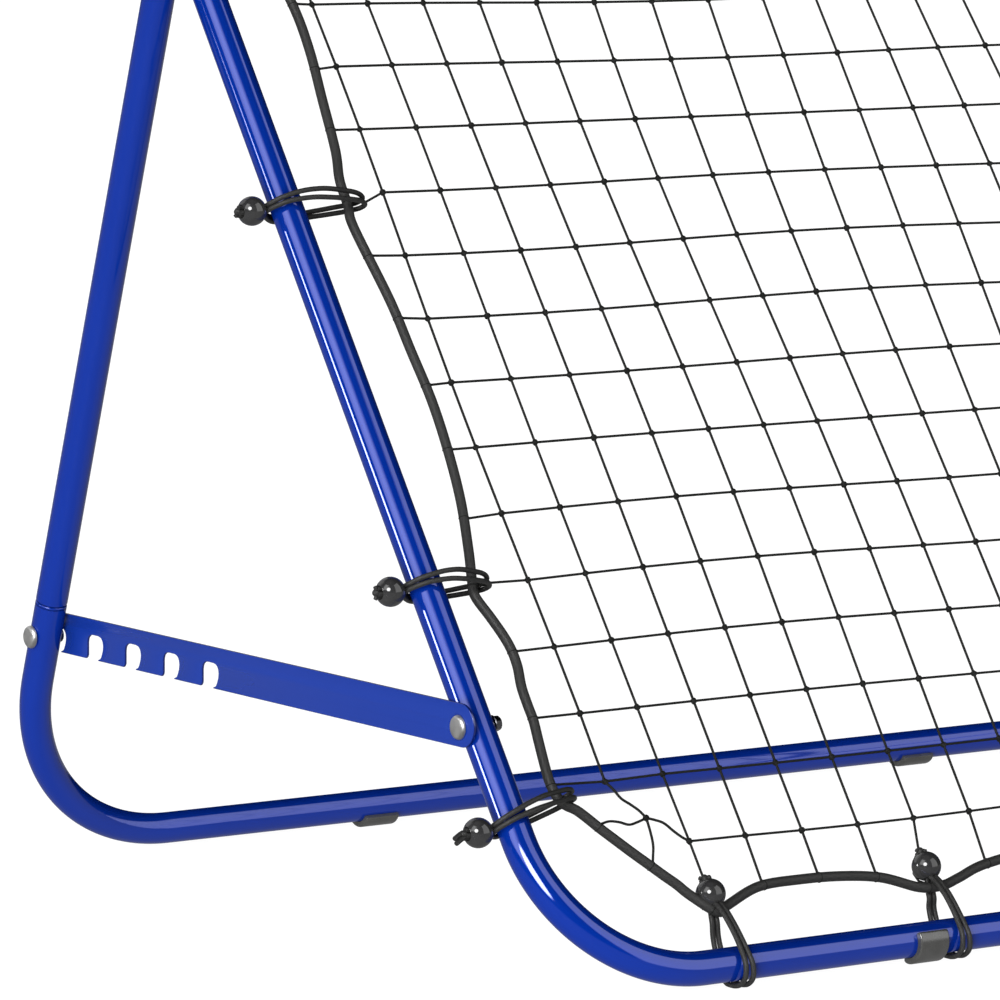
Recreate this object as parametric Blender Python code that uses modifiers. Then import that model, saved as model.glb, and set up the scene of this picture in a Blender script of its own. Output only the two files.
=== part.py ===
"""Adjustable soccer rebound net: a tubular A-frame with a netted front frame,
a hinged rear leg frame and two notched adjuster plates. Metres, +Z up."""

import math

import bmesh
import bpy
from mathutils import Matrix, Vector

MM = 0.001

# ---- driving dimensions, in millimetres -------------------------------------
TUBE_R = 12.5            # outer radius of every frame tube
WALL = 1.5               # tube wall
FRONT_W = 1200.0         # front frame, side tube axis to side tube axis
FRONT_L = 1280.0         # front frame, bottom bar axis to top bar axis
FRONT_BEND = 115.0       # corner radius on the tube axis
FRONT_SEAM = 885.0       # where the lower and upper halves of the front frame meet
PIVOT_V = 858.0          # rear frame pivot, measured up the front frame
FRONT_LEAN = math.radians(34.81)
REAR_LEAN = math.radians(19.05)
REAR_OUT = 28.8          # rear frame tubes outboard of the front frame tubes
REAR_BEND = 147.0
REAR_SEAM = 214.0        # where the rear leg meets the floor piece
LOCK_V = 184.6           # lock bolt, measured up the rear frame
BASE_DEPTH = 733.0       # front bar axis to rear bar axis at rest
SPIGOT_R = 10.5          # swaged tube end that slides inside the next tube
SPIGOT_LEN = 56.0
FOOT_R = 17.9            # outer radius of the foot pads
FLOOR_DROP = 17.3        # bar axis to floor
STAMP_OUT = 10.5         # flat stamped on the inner side around the lock bolt
PLATE_BOLT_V = 207.0     # adjuster plate pivot, measured up the front frame
PLATE_T = 2.0
PLATE_X = 13.8           # mid plane of the plate, outboard of the tube axis
PLATE_TOP, PLATE_BOTTOM = 17.5, -14.3
PLATE_REAR = 588.0
NOTCH_PITCH = 56.1
NOTCH_FIRST = 344.4      # load wall of the foremost notch
NOTCH_COUNT = 5
BOLT_R = 3.0
HOLE_R = 3.4
HEAD_R = 9.0
ROPE_R = 3.75
CORD_R = 1.95
BALL_R = 11.0
BALL_HOLE_R = 4.8
SIDE_TIES = (124.0, 319.0, 640.0, 961.0, 1156.0)
BOTTOM_TIES = (145.5, 343.4, 600.0, 856.6, 1054.5)
TOP_TIES = (400.0, 800.0)
TIE_BALL_OUT = 31.0      # side ties: ball centre outboard of the tube axis
BAR_BALL_IN = 58.5       # bar ties: ball centre inboard of the bar axis
ROPE_AT_BAR = 34.0       # rope axis to bar axis at a bar tie

ORIGIN_Y = -365.6        # world Y of the front bar axis, so the base is centred

TUBE_SIDES = 16
pivot_y = PIVOT_V * math.sin(FRONT_LEAN)
pivot_z = PIVOT_V * math.cos(FRONT_LEAN)
REAR_L = pivot_z / math.cos(REAR_LEAN)

# ---- scene ------------------------------------------------------------------
for old in list(bpy.data.objects):
    bpy.data.objects.remove(old, do_unlink=True)

scene = bpy.context.scene
parts = bpy.data.collections.new("soccer_rebound_net")
cutters = bpy.data.collections.new("cutters")
scene.collection.children.link(parts)
scene.collection.children.link(cutters)
cutters.hide_render = True


def material(name, colour, roughness, metallic=0.0):
    found = bpy.data.materials.get(name)
    if found:
        return found
    made = bpy.data.materials.new(name)
    made.use_nodes = True
    shader = made.node_tree.nodes["Principled BSDF"]
    shader.inputs["Base Color"].default_value = (*colour, 1.0)
    shader.inputs["Roughness"].default_value = roughness
    shader.inputs["Metallic"].default_value = metallic
    return made


BLUE = material("blue_enamel", (0.012, 0.035, 0.40), 0.25)
BLUE_PLATE = material("blue_plate", (0.012, 0.035, 0.38), 0.4)
SILVER = material("zinc_silver", (0.62, 0.62, 0.62), 0.35, 1.0)
DARK_STEEL = material("dark_steel", (0.12, 0.12, 0.13), 0.3, 1.0)
RUBBER = material("grey_rubber", (0.05, 0.05, 0.05), 0.6)
BLACK_BALL = material("black_ball", (0.03, 0.03, 0.032), 0.15)
CORD = material("elastic_cord", (0.03, 0.03, 0.03), 0.7)
ROPE = material("edge_rope", (0.035, 0.035, 0.035), 0.75)
NET = material("net_twine", (0.02, 0.02, 0.02), 0.8)


def empty(name, location, tilt):
    made = bpy.data.objects.new(name, None)
    made.empty_display_size = 0.05
    made.location = Vector(location) * MM
    made.rotation_euler = (tilt, 0.0, 0.0)
    parts.objects.link(made)
    return made


# Local axes of the two frames: x across, y up the frame, z out of its plane.
front_root = empty("front_frame_axes", (0, ORIGIN_Y, FLOOR_DROP), math.pi / 2 - FRONT_LEAN)
rear_root = empty("rear_frame_axes", (0, ORIGIN_Y + pivot_y, FLOOR_DROP + pivot_z), math.pi / 2 + REAR_LEAN)
plate_y = PLATE_BOLT_V * math.sin(FRONT_LEAN)
plate_z = PLATE_BOLT_V * math.cos(FRONT_LEAN)
lock_y = BASE_DEPTH - LOCK_V * math.sin(REAR_LEAN)
lock_z = LOCK_V * math.cos(REAR_LEAN)
plate_tilt = math.atan2(lock_z - plate_z, lock_y - plate_y)
plate_root = {}
for side, sign in (("left", -1), ("right", 1)):
    plate_root[side] = empty(
        f"adjuster_axes_{side}",
        (sign * FRONT_W / 2, ORIGIN_Y + plate_y, FLOOR_DROP + plate_z),
        plate_tilt,
    )


# ---- helpers ----------------------------------------------------------------
def place(obj, parent, location=(0, 0, 0), rotation=(0, 0, 0)):
    obj.parent = parent
    obj.location = Vector(location) * MM
    obj.rotation_euler = rotation
    return obj


def add(name, mesh, finish, parent, location=(0, 0, 0), rotation=(0, 0, 0), cutter=False):
    obj = bpy.data.objects.new(name, mesh)
    (cutters if cutter else parts).objects.link(obj)
    if cutter:
        obj.hide_render = True
        obj.display_type = "WIRE"
    else:
        mesh.materials.clear()
        mesh.materials.append(finish)
        mesh.shade_smooth()
        mesh.set_sharp_from_angle(angle=math.radians(35))
    return place(obj, parent, location, rotation)


def curve_mesh(name, points, radius, resolution, cyclic=False, radii=None):
    """The welded mesh of a round tube along a polyline, points in millimetres."""
    data = bpy.data.curves.new(name, "CURVE")
    data.dimensions = "3D"
    data.bevel_depth = radius * MM
    data.bevel_resolution = resolution
    data.use_fill_caps = not cyclic
    spline = data.splines.new("POLY")
    spline.points.add(len(points) - 1)
    for index, (point, target) in enumerate(zip(spline.points, points)):
        target = tuple(target) + (0.0,) * (3 - len(target))
        point.co = (target[0] * MM, target[1] * MM, target[2] * MM, 1.0)
        if radii:
            point.radius = radii[index] / radius
    spline.use_cyclic_u = cyclic
    guide = bpy.data.objects.new(name + "_guide", data)
    scene.collection.objects.link(guide)
    bpy.context.view_layer.update()
    graph = bpy.context.evaluated_depsgraph_get()
    mesh = bpy.data.meshes.new_from_object(guide.evaluated_get(graph))
    mesh.name = name
    bpy.data.objects.remove(guide, do_unlink=True)
    work = bmesh.new()
    work.from_mesh(mesh)
    bmesh.ops.remove_doubles(work, verts=work.verts, dist=0.00001)
    bmesh.ops.recalc_face_normals(work, faces=work.faces)
    work.to_mesh(mesh)
    work.free()
    return mesh


def outline_mesh(name, outlines, thickness):
    """A flat outline, with holes, as a plate centred on its own plane."""
    data = bpy.data.curves.new(name, "CURVE")
    data.dimensions = "2D"
    data.fill_mode = "BOTH"
    data.extrude = thickness / 2 * MM
    for outline in outlines:
        spline = data.splines.new("POLY")
        spline.points.add(len(outline) - 1)
        for point, (x, y) in zip(spline.points, outline):
            point.co = (x * MM, y * MM, 0.0, 1.0)
        spline.use_cyclic_u = True
    guide = bpy.data.objects.new(name + "_guide", data)
    scene.collection.objects.link(guide)
    bpy.context.view_layer.update()
    graph = bpy.context.evaluated_depsgraph_get()
    mesh = bpy.data.meshes.new_from_object(guide.evaluated_get(graph))
    mesh.name = name
    bpy.data.objects.remove(guide, do_unlink=True)
    work = bmesh.new()
    work.from_mesh(mesh)
    bmesh.ops.remove_doubles(work, verts=work.verts, dist=0.00001)
    bmesh.ops.recalc_face_normals(work, faces=work.faces)
    work.to_mesh(mesh)
    work.free()
    return mesh


def turned_mesh(name, profile):
    """The half profile (radius, height) of a turned piece, top to bottom."""
    mesh = bpy.data.meshes.new(name)
    work = bmesh.new()
    made = [work.verts.new((radius * MM, 0.0, height * MM)) for radius, height in profile]
    for first, second in zip(made, made[1:]):
        work.edges.new((first, second))
    if profile[0][0] > 0.0:
        work.edges.new((made[-1], made[0]))
    work.to_mesh(mesh)
    work.free()
    return mesh


def turn(obj, steps):
    screw = obj.modifiers.new("turn", "SCREW")
    screw.axis = "Z"
    screw.angle = math.tau
    screw.steps = screw.render_steps = steps
    screw.use_merge_vertices = True
    screw.merge_threshold = 0.00005
    return obj


def cut(obj, cutter, name):
    modifier = obj.modifiers.new(name, "BOOLEAN")
    modifier.operation = "DIFFERENCE"
    modifier.solver = "EXACT"
    modifier.object = cutter
    return modifier


def cylinder_mesh(name, radius, length, segments=16):
    mesh = bpy.data.meshes.new(name)
    work = bmesh.new()
    bmesh.ops.create_cone(work, cap_ends=True, segments=segments, matrix=Matrix.Rotation(0.11, 4, "Z"), radius1=radius * MM,
                          radius2=radius * MM, depth=length * MM)
    work.to_mesh(mesh)
    work.free()
    return mesh


ALONG_X = (0.0, math.pi / 2, 0.0)        # turns a piece's own z to +x
PROFILE_X = (math.pi / 2, 0.0, math.pi / 2)  # own x to +y, own y to +z, own z to +x


def arc(centre, radius, start, end, count):
    """Points on an arc, angles in degrees."""
    made = []
    for index in range(count + 1):
        angle = math.radians(start + (end - start) * index / count)
        made.append((centre[0] + radius * math.cos(angle), centre[1] + radius * math.sin(angle)))
    return made


def smooth_route(knots, count, closed=False):
    """Evenly spaced points on a centripetal-free cardinal curve through the knots."""
    knots = [Vector(tuple(k) + (0.0,) * (3 - len(k))) for k in knots]
    total = len(knots)
    spans = total if closed else total - 1
    fine = []
    for index in range(spans):
        if closed:
            p0, p1, p2, p3 = (knots[(index + k) % total] for k in (-1, 0, 1, 2))
        else:
            p0 = knots[max(index - 1, 0)]
            p1, p2 = knots[index], knots[index + 1]
            p3 = knots[min(index + 2, total - 1)]
        for step in range(20):
            t = step / 20
            fine.append(0.5 * ((2 * p1) + (p2 - p0) * t + (2 * p0 - 5 * p1 + 4 * p2 - p3) * t * t
                               + (3 * p1 - p0 - 3 * p2 + p3) * t ** 3))
    fine.append(knots[0] if closed else knots[-1])
    lengths = [0.0]
    for first, second in zip(fine, fine[1:]):
        lengths.append(lengths[-1] + (second - first).length)
    steps = count if closed else count - 1
    made, index = [], 0
    for step in range(count):
        goal = lengths[-1] * step / steps
        while index < len(lengths) - 2 and lengths[index + 1] < goal:
            index += 1
        span = lengths[index + 1] - lengths[index]
        t = 0.0 if span == 0 else (goal - lengths[index]) / span
        made.append(fine[index].lerp(fine[index + 1], t))
    return made


def clamp_side(mesh, outward, limit, low, high):
    """Presses a flat into a tube: no point between low and high lies past the limit."""
    for vertex in mesh.vertices:
        x, y = vertex.co.x / MM, vertex.co.y / MM
        if low - 0.01 <= y <= high + 0.01:
            for centre, sign in outward:
                if abs(x - centre) < 2 * TUBE_R and (x - centre) * sign > limit:
                    vertex.co.x = (centre + sign * limit) * MM


# ---- frame tubes ------------------------------------------------------------
def u_route(half_width, top, bend, extra=()):
    """A U from its left top, round two bends, to its right top. y is 0 on the bar."""
    heights = [top] + sorted((h for h in extra if bend < h < top), reverse=True)
    left = [(-half_width, h) for h in heights]
    left += arc((-half_width + bend, bend), bend, 180, 270, 9)
    return left + [(-x, y) for x, y in reversed(left)]


def tube(name, route, parent, inner_route=None, radii=None, inner_radii=None, shift=(0, 0, 0), finish=BLUE):
    outer = curve_mesh(name, route, TUBE_R, TUBE_SIDES // 4 * 2 - 2, radii=radii)
    obj = add(name, outer, finish, parent, shift)
    return obj


def channel(name, route, radius, parent, radii=None, shift=(0, 0, 0)):
    mesh = curve_mesh(name, route, radius, 6, radii=radii)
    return add(name, mesh, None, parent, shift, cutter=True)


half = FRONT_W / 2
inner_r = TUBE_R - WALL
lower_route = u_route(half, FRONT_SEAM, FRONT_BEND, (700, 500, 300))
front_lower = tube("front_lower_frame", lower_route, front_root)
lower_channel = channel("front_lower_channel", u_route(half, FRONT_SEAM + 5, FRONT_BEND), inner_r, front_root)
cut(front_lower, lower_channel, "bore")

# The upper half slides its reduced ends into the lower half.
spigot_end = FRONT_SEAM - SPIGOT_LEN
upper_top = FRONT_L
upper_half = [(-half, spigot_end), (-half, FRONT_SEAM + 0.4), (-half, FRONT_SEAM + 1.0), (-half, 1050.0)]
upper_half += arc((-half + FRONT_BEND, upper_top - FRONT_BEND), FRONT_BEND, 180, 90, 9)
upper_route = upper_half + [(-x, y) for x, y in reversed(upper_half)]
upper_radii = [SPIGOT_R, SPIGOT_R] + [TUBE_R] * (len(upper_route) - 4) + [SPIGOT_R, SPIGOT_R]
front_upper = tube("front_upper_frame", upper_route, front_root, radii=upper_radii)
inner_half = [(-half, spigot_end - 5), (-half, FRONT_SEAM + 8.0), (-half, FRONT_SEAM + 20.0)]
inner_half += arc((-half + FRONT_BEND, upper_top - FRONT_BEND), FRONT_BEND, 180, 90, 9)
inner_route = inner_half + [(-x, y) for x, y in reversed(inner_half)]
spigot_bore = SPIGOT_R - WALL
inner_radii = [spigot_bore, spigot_bore] + [inner_r] * (len(inner_route) - 4) + [spigot_bore, spigot_bore]
upper_channel = channel("front_upper_channel", inner_route, inner_r, front_root, radii=inner_radii)
cut(front_upper, upper_channel, "bore")

# Rear floor piece: a U with a flat stamped on the inner side of each upright.
rear_half = half + REAR_OUT
down = -REAR_L
stamp_low, stamp_high = LOCK_V - 19.6, REAR_SEAM
rear_route = [(x, y + down) for x, y in u_route(rear_half, REAR_SEAM, REAR_BEND, (REAR_SEAM - 4, stamp_low + 4, stamp_low - 4))]
rear_lower = tube("rear_floor_frame", rear_route, rear_root)
inward = ((-rear_half, 1), (rear_half, -1))
clamp_side(rear_lower.data, inward, STAMP_OUT, stamp_low + down + 3, stamp_high + down + 1)
rear_inner = [(x, y + down) for x, y in u_route(rear_half, REAR_SEAM + 5, REAR_BEND, (REAR_SEAM - 4, stamp_low + 4, stamp_low - 4))]
rear_channel = channel("rear_floor_channel", rear_inner, inner_r, rear_root)
clamp_side(rear_channel.data, inward, STAMP_OUT - WALL, stamp_low + down + 3, stamp_high + down + 10)
cut(rear_lower, rear_channel, "bore")


def rear_leg(name, sign):
    """A straight leg: swaged lower end, and an open upper end beside the front tube."""
    centre = sign * rear_half
    low, top = REAR_SEAM - SPIGOT_LEN, REAR_L + 15.0
    heights = [low, REAR_SEAM + 0.4, REAR_SEAM + 1.0, 450.0, top]
    radii = [SPIGOT_R, SPIGOT_R, TUBE_R, TUBE_R, TUBE_R]
    route = [(centre, h + down) for h in heights]
    mesh = curve_mesh(name, route, TUBE_R, TUBE_SIDES // 4 * 2 - 2, radii=radii)
    side = ((centre, -sign),)
    clamp_side(mesh, side, STAMP_OUT - WALL - 0.4, low + down - 1, REAR_SEAM + down + 0.5)
    leg = add(name, mesh, BLUE, rear_root)
    inner = [(centre, h + down) for h in (low - 5, REAR_SEAM + 8.0, REAR_SEAM + 20.0, top + 5)]
    bore = channel(name + "_channel", inner, inner_r, rear_root,
                   radii=[spigot_bore, spigot_bore, inner_r, inner_r])
    clamp_side(bore.data, side, STAMP_OUT - 2 * WALL - 0.4, low + down - 10, REAR_SEAM + down + 9)
    cut(leg, bore, "bore")
    return leg


legs = {"left": rear_leg("rear_leg_left", -1), "right": rear_leg("rear_leg_right", 1)}

# ---- bolts, nuts and plates -------------------------------------------------
drill_mesh = cylinder_mesh("drill", HOLE_R, 60.0)


def drill(targets, name, parent, location):
    bit = add(name, drill_mesh.copy(), None, parent, location, ALONG_X, cutter=True)
    for target in targets:
        cut(target, bit, name)


def head_profile(head_low, head_high, shank_end, radius=HEAD_R):
    """A low domed head above a plain shank, from its crown to its tip."""
    rise = head_high - head_low
    return [(0.0, head_high), (radius * 0.55, head_high - 0.16 * rise), (radius * 0.87, head_high - 0.45 * rise),
            (radius, head_high - 0.78 * rise), (radius, head_low), (BOLT_R, head_low),
            (BOLT_R, shank_end + 0.6), (BOLT_R - 0.6, shank_end), (0.0, shank_end)]


def bolt(name, parent, location, sign, head_low, head_high, shank_end, finish=SILVER):
    """Heights run outboard from the tube's axis, along the bolt."""
    mesh = turned_mesh(name, head_profile(head_low, head_high, shank_end))
    obj = add(name, mesh, finish, parent, location, (0.0, sign * math.pi / 2, 0.0))
    return turn(obj, 12)


def nut(name, parent, location, sign, near, far, flange_r=6.5, across=10.0, finish=DARK_STEEL):
    """A hexagon on a round flange, bored through, with its flange at near."""
    length = far - near
    mesh = bpy.data.meshes.new(name)
    work = bmesh.new()
    bmesh.ops.create_cone(work, cap_ends=True, segments=16, radius1=flange_r * MM, radius2=flange_r * MM,
                          depth=1.4 * MM, matrix=Matrix.Translation((0, 0, 0.7 * MM)))
    work.to_mesh(mesh)
    work.free()
    obj = add(name, mesh, finish, parent, location, (0.0, -sign * math.pi / 2, 0.0))
    hexagon = cylinder_mesh(name + "_hex", across / 2 / math.cos(math.radians(30)), length - 0.7, 6)
    block = add(name + "_hex", hexagon, None, parent, location, (0.0, -sign * math.pi / 2, 0.0), cutter=True)
    block.data.transform(Matrix.Translation((0, 0, (0.7 + (length - 0.7) / 2) * MM)))
    join = obj.modifiers.new("hexagon", "BOOLEAN")
    join.operation = "UNION"
    join.solver = "EXACT"
    join.object = block
    bit = add(name + "_bore", drill_mesh.copy(), None, parent, location, (0.0, -sign * math.pi / 2, 0.0), cutter=True)
    cut(obj, bit, "bore")
    return obj


def notch_points(wall):
    low, top = PLATE_BOTTOM, 5.2
    made = [(wall + 4.6, low), (wall + 3.0, low + 0.9), (wall + 1.9, low + 2.9), (wall + 1.9, top - 6.5)]
    made += [(wall + 1.0, top - 3.0), (wall - 2.2, top - 0.5), (wall - 6.5, top), (wall - 14.5, top - 0.1)]
    made += [(wall - 18.2, top - 1.0), (wall - 20.6, top - 3.4), (wall - 21.5, top - 7.0),
             (wall - 20.9, top - 10.8), (wall - 18.9, low + 4.2), (wall - 17.3, low + 2.1), (wall - 13.9, low + 0.9), (wall - 13.9, low)]
    return made


def plate_outline():
    """Rounded at the front bolt, square at the rear, notched along its lower edge."""
    radius = (PLATE_TOP - PLATE_BOTTOM) / 2
    mid = (PLATE_TOP + PLATE_BOTTOM) / 2
    front = arc((-2.5, mid), radius, 270, 90, 12)
    rear = arc((PLATE_REAR - 6, PLATE_TOP - 6), 6, 90, 0, 3) + arc((PLATE_REAR - 6, PLATE_BOTTOM + 6), 6, 0, -90, 3)
    lower = []
    for index in reversed(range(NOTCH_COUNT)):
        lower += notch_points(NOTCH_FIRST + NOTCH_PITCH * index)
    return front + rear + lower


hole = arc((0, 0), HOLE_R, 0, 337.5, 15)
pivot_local_front = (PIVOT_V,)
for side, sign in (("left", -1), ("right", 1)):
    tube_x = sign * half
    # pivot through the rear leg, the outer tube and the spigot inside it
    bit = add(f"pivot_drill_{side}", drill_mesh.copy(), None, front_root, (tube_x + sign * 14.4, PIVOT_V, 0), ALONG_X, cutter=True)
    cut(front_lower, bit, f"pivot_{side}")
    cut(front_upper, bit, f"pivot_{side}")
    cut(legs[side], bit, f"pivot_{side}")
    leg_out = REAR_OUT + TUBE_R
    bolt(f"pivot_bolt_{side}", front_root, (tube_x, PIVOT_V, 0), sign, leg_out + 0.35, leg_out + 3.6, -20.6)
    nut(f"pivot_nut_{side}", front_root, (tube_x - sign * (TUBE_R + 0.35), PIVOT_V, 0), sign, 0.0, 6.4)

    # adjuster plate and its bolt
    sheet = outline_mesh(f"adjuster_plate_{side}", [plate_outline(), hole], PLATE_T)
    if side == "right":
        # the right plate is the left one's mirror image
        sheet.transform(Matrix.Scale(-1.0, 4, (0, 0, 1)))
        sheet.flip_normals()
    plate = add(f"adjuster_plate_{side}", sheet, BLUE_PLATE, plate_root[side], (sign * PLATE_X, 0, 0), PROFILE_X)
    drill((front_lower,), f"plate_drill_{side}", front_root, (tube_x, PLATE_BOLT_V, 0))
    plate_out = PLATE_X + PLATE_T / 2
    bolt(f"plate_bolt_{side}", front_root, (tube_x, PLATE_BOLT_V, 0), sign, plate_out + 0.35, plate_out + 3.4, -20.6)
    nut(f"plate_nut_{side}", front_root, (tube_x - sign * (TUBE_R + 0.35), PLATE_BOLT_V, 0), sign, 0.0, 6.4)

    # lock bolt through the rear leg joint; it ends just short of the plate
    rear_x = sign * rear_half
    lock_height = LOCK_V + down
    drill((rear_lower, legs[side]), f"lock_drill_{side}", rear_root, (rear_x, lock_height, 0))
    lock_tip = -(REAR_OUT - PLATE_X - PLATE_T / 2 - 0.4)
    bolt(f"lock_bolt_{side}", rear_root, (rear_x, lock_height, 0), sign, TUBE_R + 0.35, TUBE_R + 3.6, lock_tip)
    near = -(STAMP_OUT + 0.35)
    nut_height = near - lock_tip - 0.05
    mesh = cylinder_mesh(f"lock_nut_{side}", 5.0, nut_height, 12)
    lock_nut = add(f"lock_nut_{side}", mesh, DARK_STEEL, rear_root,
                   (rear_x + sign * (near - nut_height / 2), lock_height, 0), ALONG_X)
    bore = add(f"lock_nut_bore_{side}", drill_mesh.copy(), None, rear_root, (rear_x, lock_height, 0), ALONG_X, cutter=True)
    cut(lock_nut, bore, "bore")


# ---- foot pads --------------------------------------------------------------
def pad_outline(down_angle, mid_angle):
    """A half-round clip open at the top, with a flat where it stands."""
    inner_r, spread = TUBE_R + 0.35, 86
    dx, dy = math.cos(math.radians(down_angle)), math.sin(math.radians(down_angle))
    outer = []
    for x, y in arc((0, 0), FOOT_R, mid_angle - spread, mid_angle + spread, 20):
        reach = x * dx + y * dy
        if reach > FLOOR_DROP:
            x -= (reach - FLOOR_DROP) * dx
            y -= (reach - FLOOR_DROP) * dy
        outer.append((x, y))
    return outer + arc((0, 0), inner_r, mid_angle + spread, mid_angle - spread, 20)


front_down = 180 + math.degrees(FRONT_LEAN)
rear_down = 180 - math.degrees(REAR_LEAN)
for side, sign in (("left", -1), ("right", 1)):
    add(f"front_foot_{side}", outline_mesh(f"front_foot_{side}", [pad_outline(front_down, 180)], 28.0), RUBBER,
        front_root, (sign * (half - 312.0), 0, 0), PROFILE_X)
    add(f"rear_foot_{side}", outline_mesh(f"rear_foot_{side}", [pad_outline(rear_down, 180)], 32.0), RUBBER,
        rear_root, (sign * (half - 319.0), down, 0), PROFILE_X)


# ---- net, edge rope and ball ties ------------------------------------------
def rope_knots():
    """The rope's way round: pulled out at each tie and slack between them."""
    width, length, near = FRONT_W, FRONT_L, ROPE_AT_BAR
    left = [(62, 1156), (52, 1110), (57, 1040), (48, 961), (60, 880), (70, 812), (70, 770), (64, 710), (54, 640),
            (56, 590), (60, 550), (63, 490), (62, 430), (56, 385), (41, 319), (52, 278), (54, 210), (45, 158), (62, 124)]
    corner = [(79, 103), (97, 80), (112, 53), (128, 36)]
    bottom = [(145.5, near - 0.5), (163, 36), (192, 52), (245, 59), (298, 52), (326, 36), (343.4, near), (361, 36), (402, 52), (470, 60), (540, 53), (582, 36), (600, near)]
    half_low = left + corner + bottom
    right_low = [(width - x, y) for x, y in reversed(half_low[:-1])]
    top_right = [(width - 78, length - 102), (width - 102, length - 80), (width - 150, length - 60),
                 (width - 260, length - 54), (width - 358, length - 50), (width - 382, length - 36), (800, length - near), (782, length - 36), (740, length - 52), (600, length - 60)]
    top_left = [(width - x, y) for x, y in reversed(top_right[:-1])]
    return half_low + right_low + top_right + top_left


rope_points = [(p.x - half, p.y, 0.0) for p in smooth_route(rope_knots(), 130, closed=True)]
add("edge_rope", curve_mesh("edge_rope", rope_points, ROPE_R, 1, cyclic=True), ROPE, front_root)

net_u, net_v, net_corner = 84.0, 80.0, 90.0
net_outline = []
for cx, cy, start in ((net_u + net_corner, net_v + net_corner, 180), (FRONT_W - net_u - net_corner, net_v + net_corner, 270),
                      (FRONT_W - net_u - net_corner, FRONT_L - net_v - net_corner, 0),
                      (net_u + net_corner, FRONT_L - net_v - net_corner, 90)):
    net_outline += [(x - half, y) for x, y in arc((cx, cy), net_corner, start, start + 90, 6)]
add("net_panel", outline_mesh("net_panel", [net_outline], 1.4), NET, front_root)


def side_tie_knots():
    """From the knot behind the ball, over the tube, round the rope, back under the
    tube to a bight round the ball's neck, and the same way home."""
    out = [(-45.5, 2.2, 0), (-38, 2.2, 0), (-31, 2.2, 0), (-24, 2.2, 0.1), (-19.6, 2.2, 1.4), (-12.4, 2.5, 9.9),
           (-5, 2.8, 14.9), (6, 3.4, 15.8), (26, 4.2, 13.0), (48, 4.6, 10.4), (64, 4.4, 8.8), (74, 3.9, 5.0),
           (78, 3.7, 0), (74, 3.9, -5.0), (62, 4.6, -9.0), (45, 5.2, -10.9), (25, 5.6, -13.2), (5, 5.8, -15.9),
           (-6.5, 5.8, -14.6), (-13.6, 6.4, -9.8), (-17.9, 7.0, -2.4), (-18.6, 6.9, 4.0), (-19.2, 4.4, 8.8)]
    return out + [(-19.3, 0, 9.9)] + [(x, -y, z) for x, y, z in reversed(out)]


def bar_tie_knots():
    """The same tie with its ball on the rope's side, looped under the bar."""
    out = [(72, 2.2, 3), (65, 2.2, 3), (58, 2.2, 3), (51, 2.2, 3.1), (47.2, 2.2, 3.9), (41.6, 2.3, 7.0), (33, 2.8, 9.2), (20, 3.2, 12.4)]
    for angle, radius, spread in ((62, 17.6, 3.6), (95, 17.4, 3.8), (125, 18.0, 3.8), (150, 18.4, 3.8), (174, 17.2, 3.8), (194, 15.8, 3.8),
                                  (214.8, 15.1, 3.9), (236, 15.7, 4.0), (262, 16.4, 4.2), (298, 17.0, 4.4)):
        turn_angle = math.radians(angle)
        out.append((radius * math.cos(turn_angle), spread, radius * math.sin(turn_angle)))
    out += [(20, 4.6, -12.6), (32, 5.2, -9.2), (40.5, 6.2, -6.4), (45.0, 7.0, -1.0), (45.1, 6.9, 5.6), (45.1, 4.4, 9.8)]
    return out + [(45.1, 0, 10.9)] + [(x, -y, z) for x, y, z in reversed(out)]


side_cord = curve_mesh("side_tie_cord", smooth_route(side_tie_knots(), 38), CORD_R, 0)
bar_cord = curve_mesh("bar_tie_cord", smooth_route(bar_tie_knots(), 38), CORD_R, 0)


def ball_profile():
    hole_angle = math.asin(BALL_HOLE_R / BALL_R)
    made = []
    for index in range(6):
        angle = hole_angle + (math.pi - 2 * hole_angle) * index / 5
        made.append((BALL_R * math.sin(angle), BALL_R * math.cos(angle)))
    return made


def tie(number, kind, location, angle):
    """Adds one ball and its cord; the angle turns the tie's reach towards the net."""
    cord = side_cord if kind == "side" else bar_cord
    add(f"tie_cord_{number:02d}", cord.copy(), CORD, front_root, location, (0, 0, angle))
    reach, lift = (-TIE_BALL_OUT, 0.0) if kind == "side" else (BAR_BALL_IN, 3.0)
    centre = Vector(location) + Matrix.Rotation(angle, 3, "Z") @ Vector((reach, 0, lift))
    ball = add(f"tie_ball_{number:02d}", turned_mesh("ball", ball_profile()), BLACK_BALL, front_root, centre,
               (0, math.pi / 2, angle))
    turn(ball, 10)


number = 1
for height in SIDE_TIES:
    tie(number, "side", (-half, height, 0), 0.0)
    tie(number + 1, "side", (half, height, 0), math.pi)
    number += 2
for across in BOTTOM_TIES:
    tie(number, "bar", (across - half, 0, 0), math.pi / 2)
    number += 1
for across in TOP_TIES:
    tie(number, "bar", (across - half, FRONT_L, 0), -math.pi / 2)
    number += 1
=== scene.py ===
"""The finished look of the soccer rebound net: enamelled steel tubes, a knotted net on
its edge rope, elastic ball ties, bolts and foot pads. Shape sizes here are in
millimetres, in each frame's own axes, and every mesh is stored in metres."""

import math

import bmesh
import bpy
import numpy as np
from mathutils import Matrix, Vector


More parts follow.
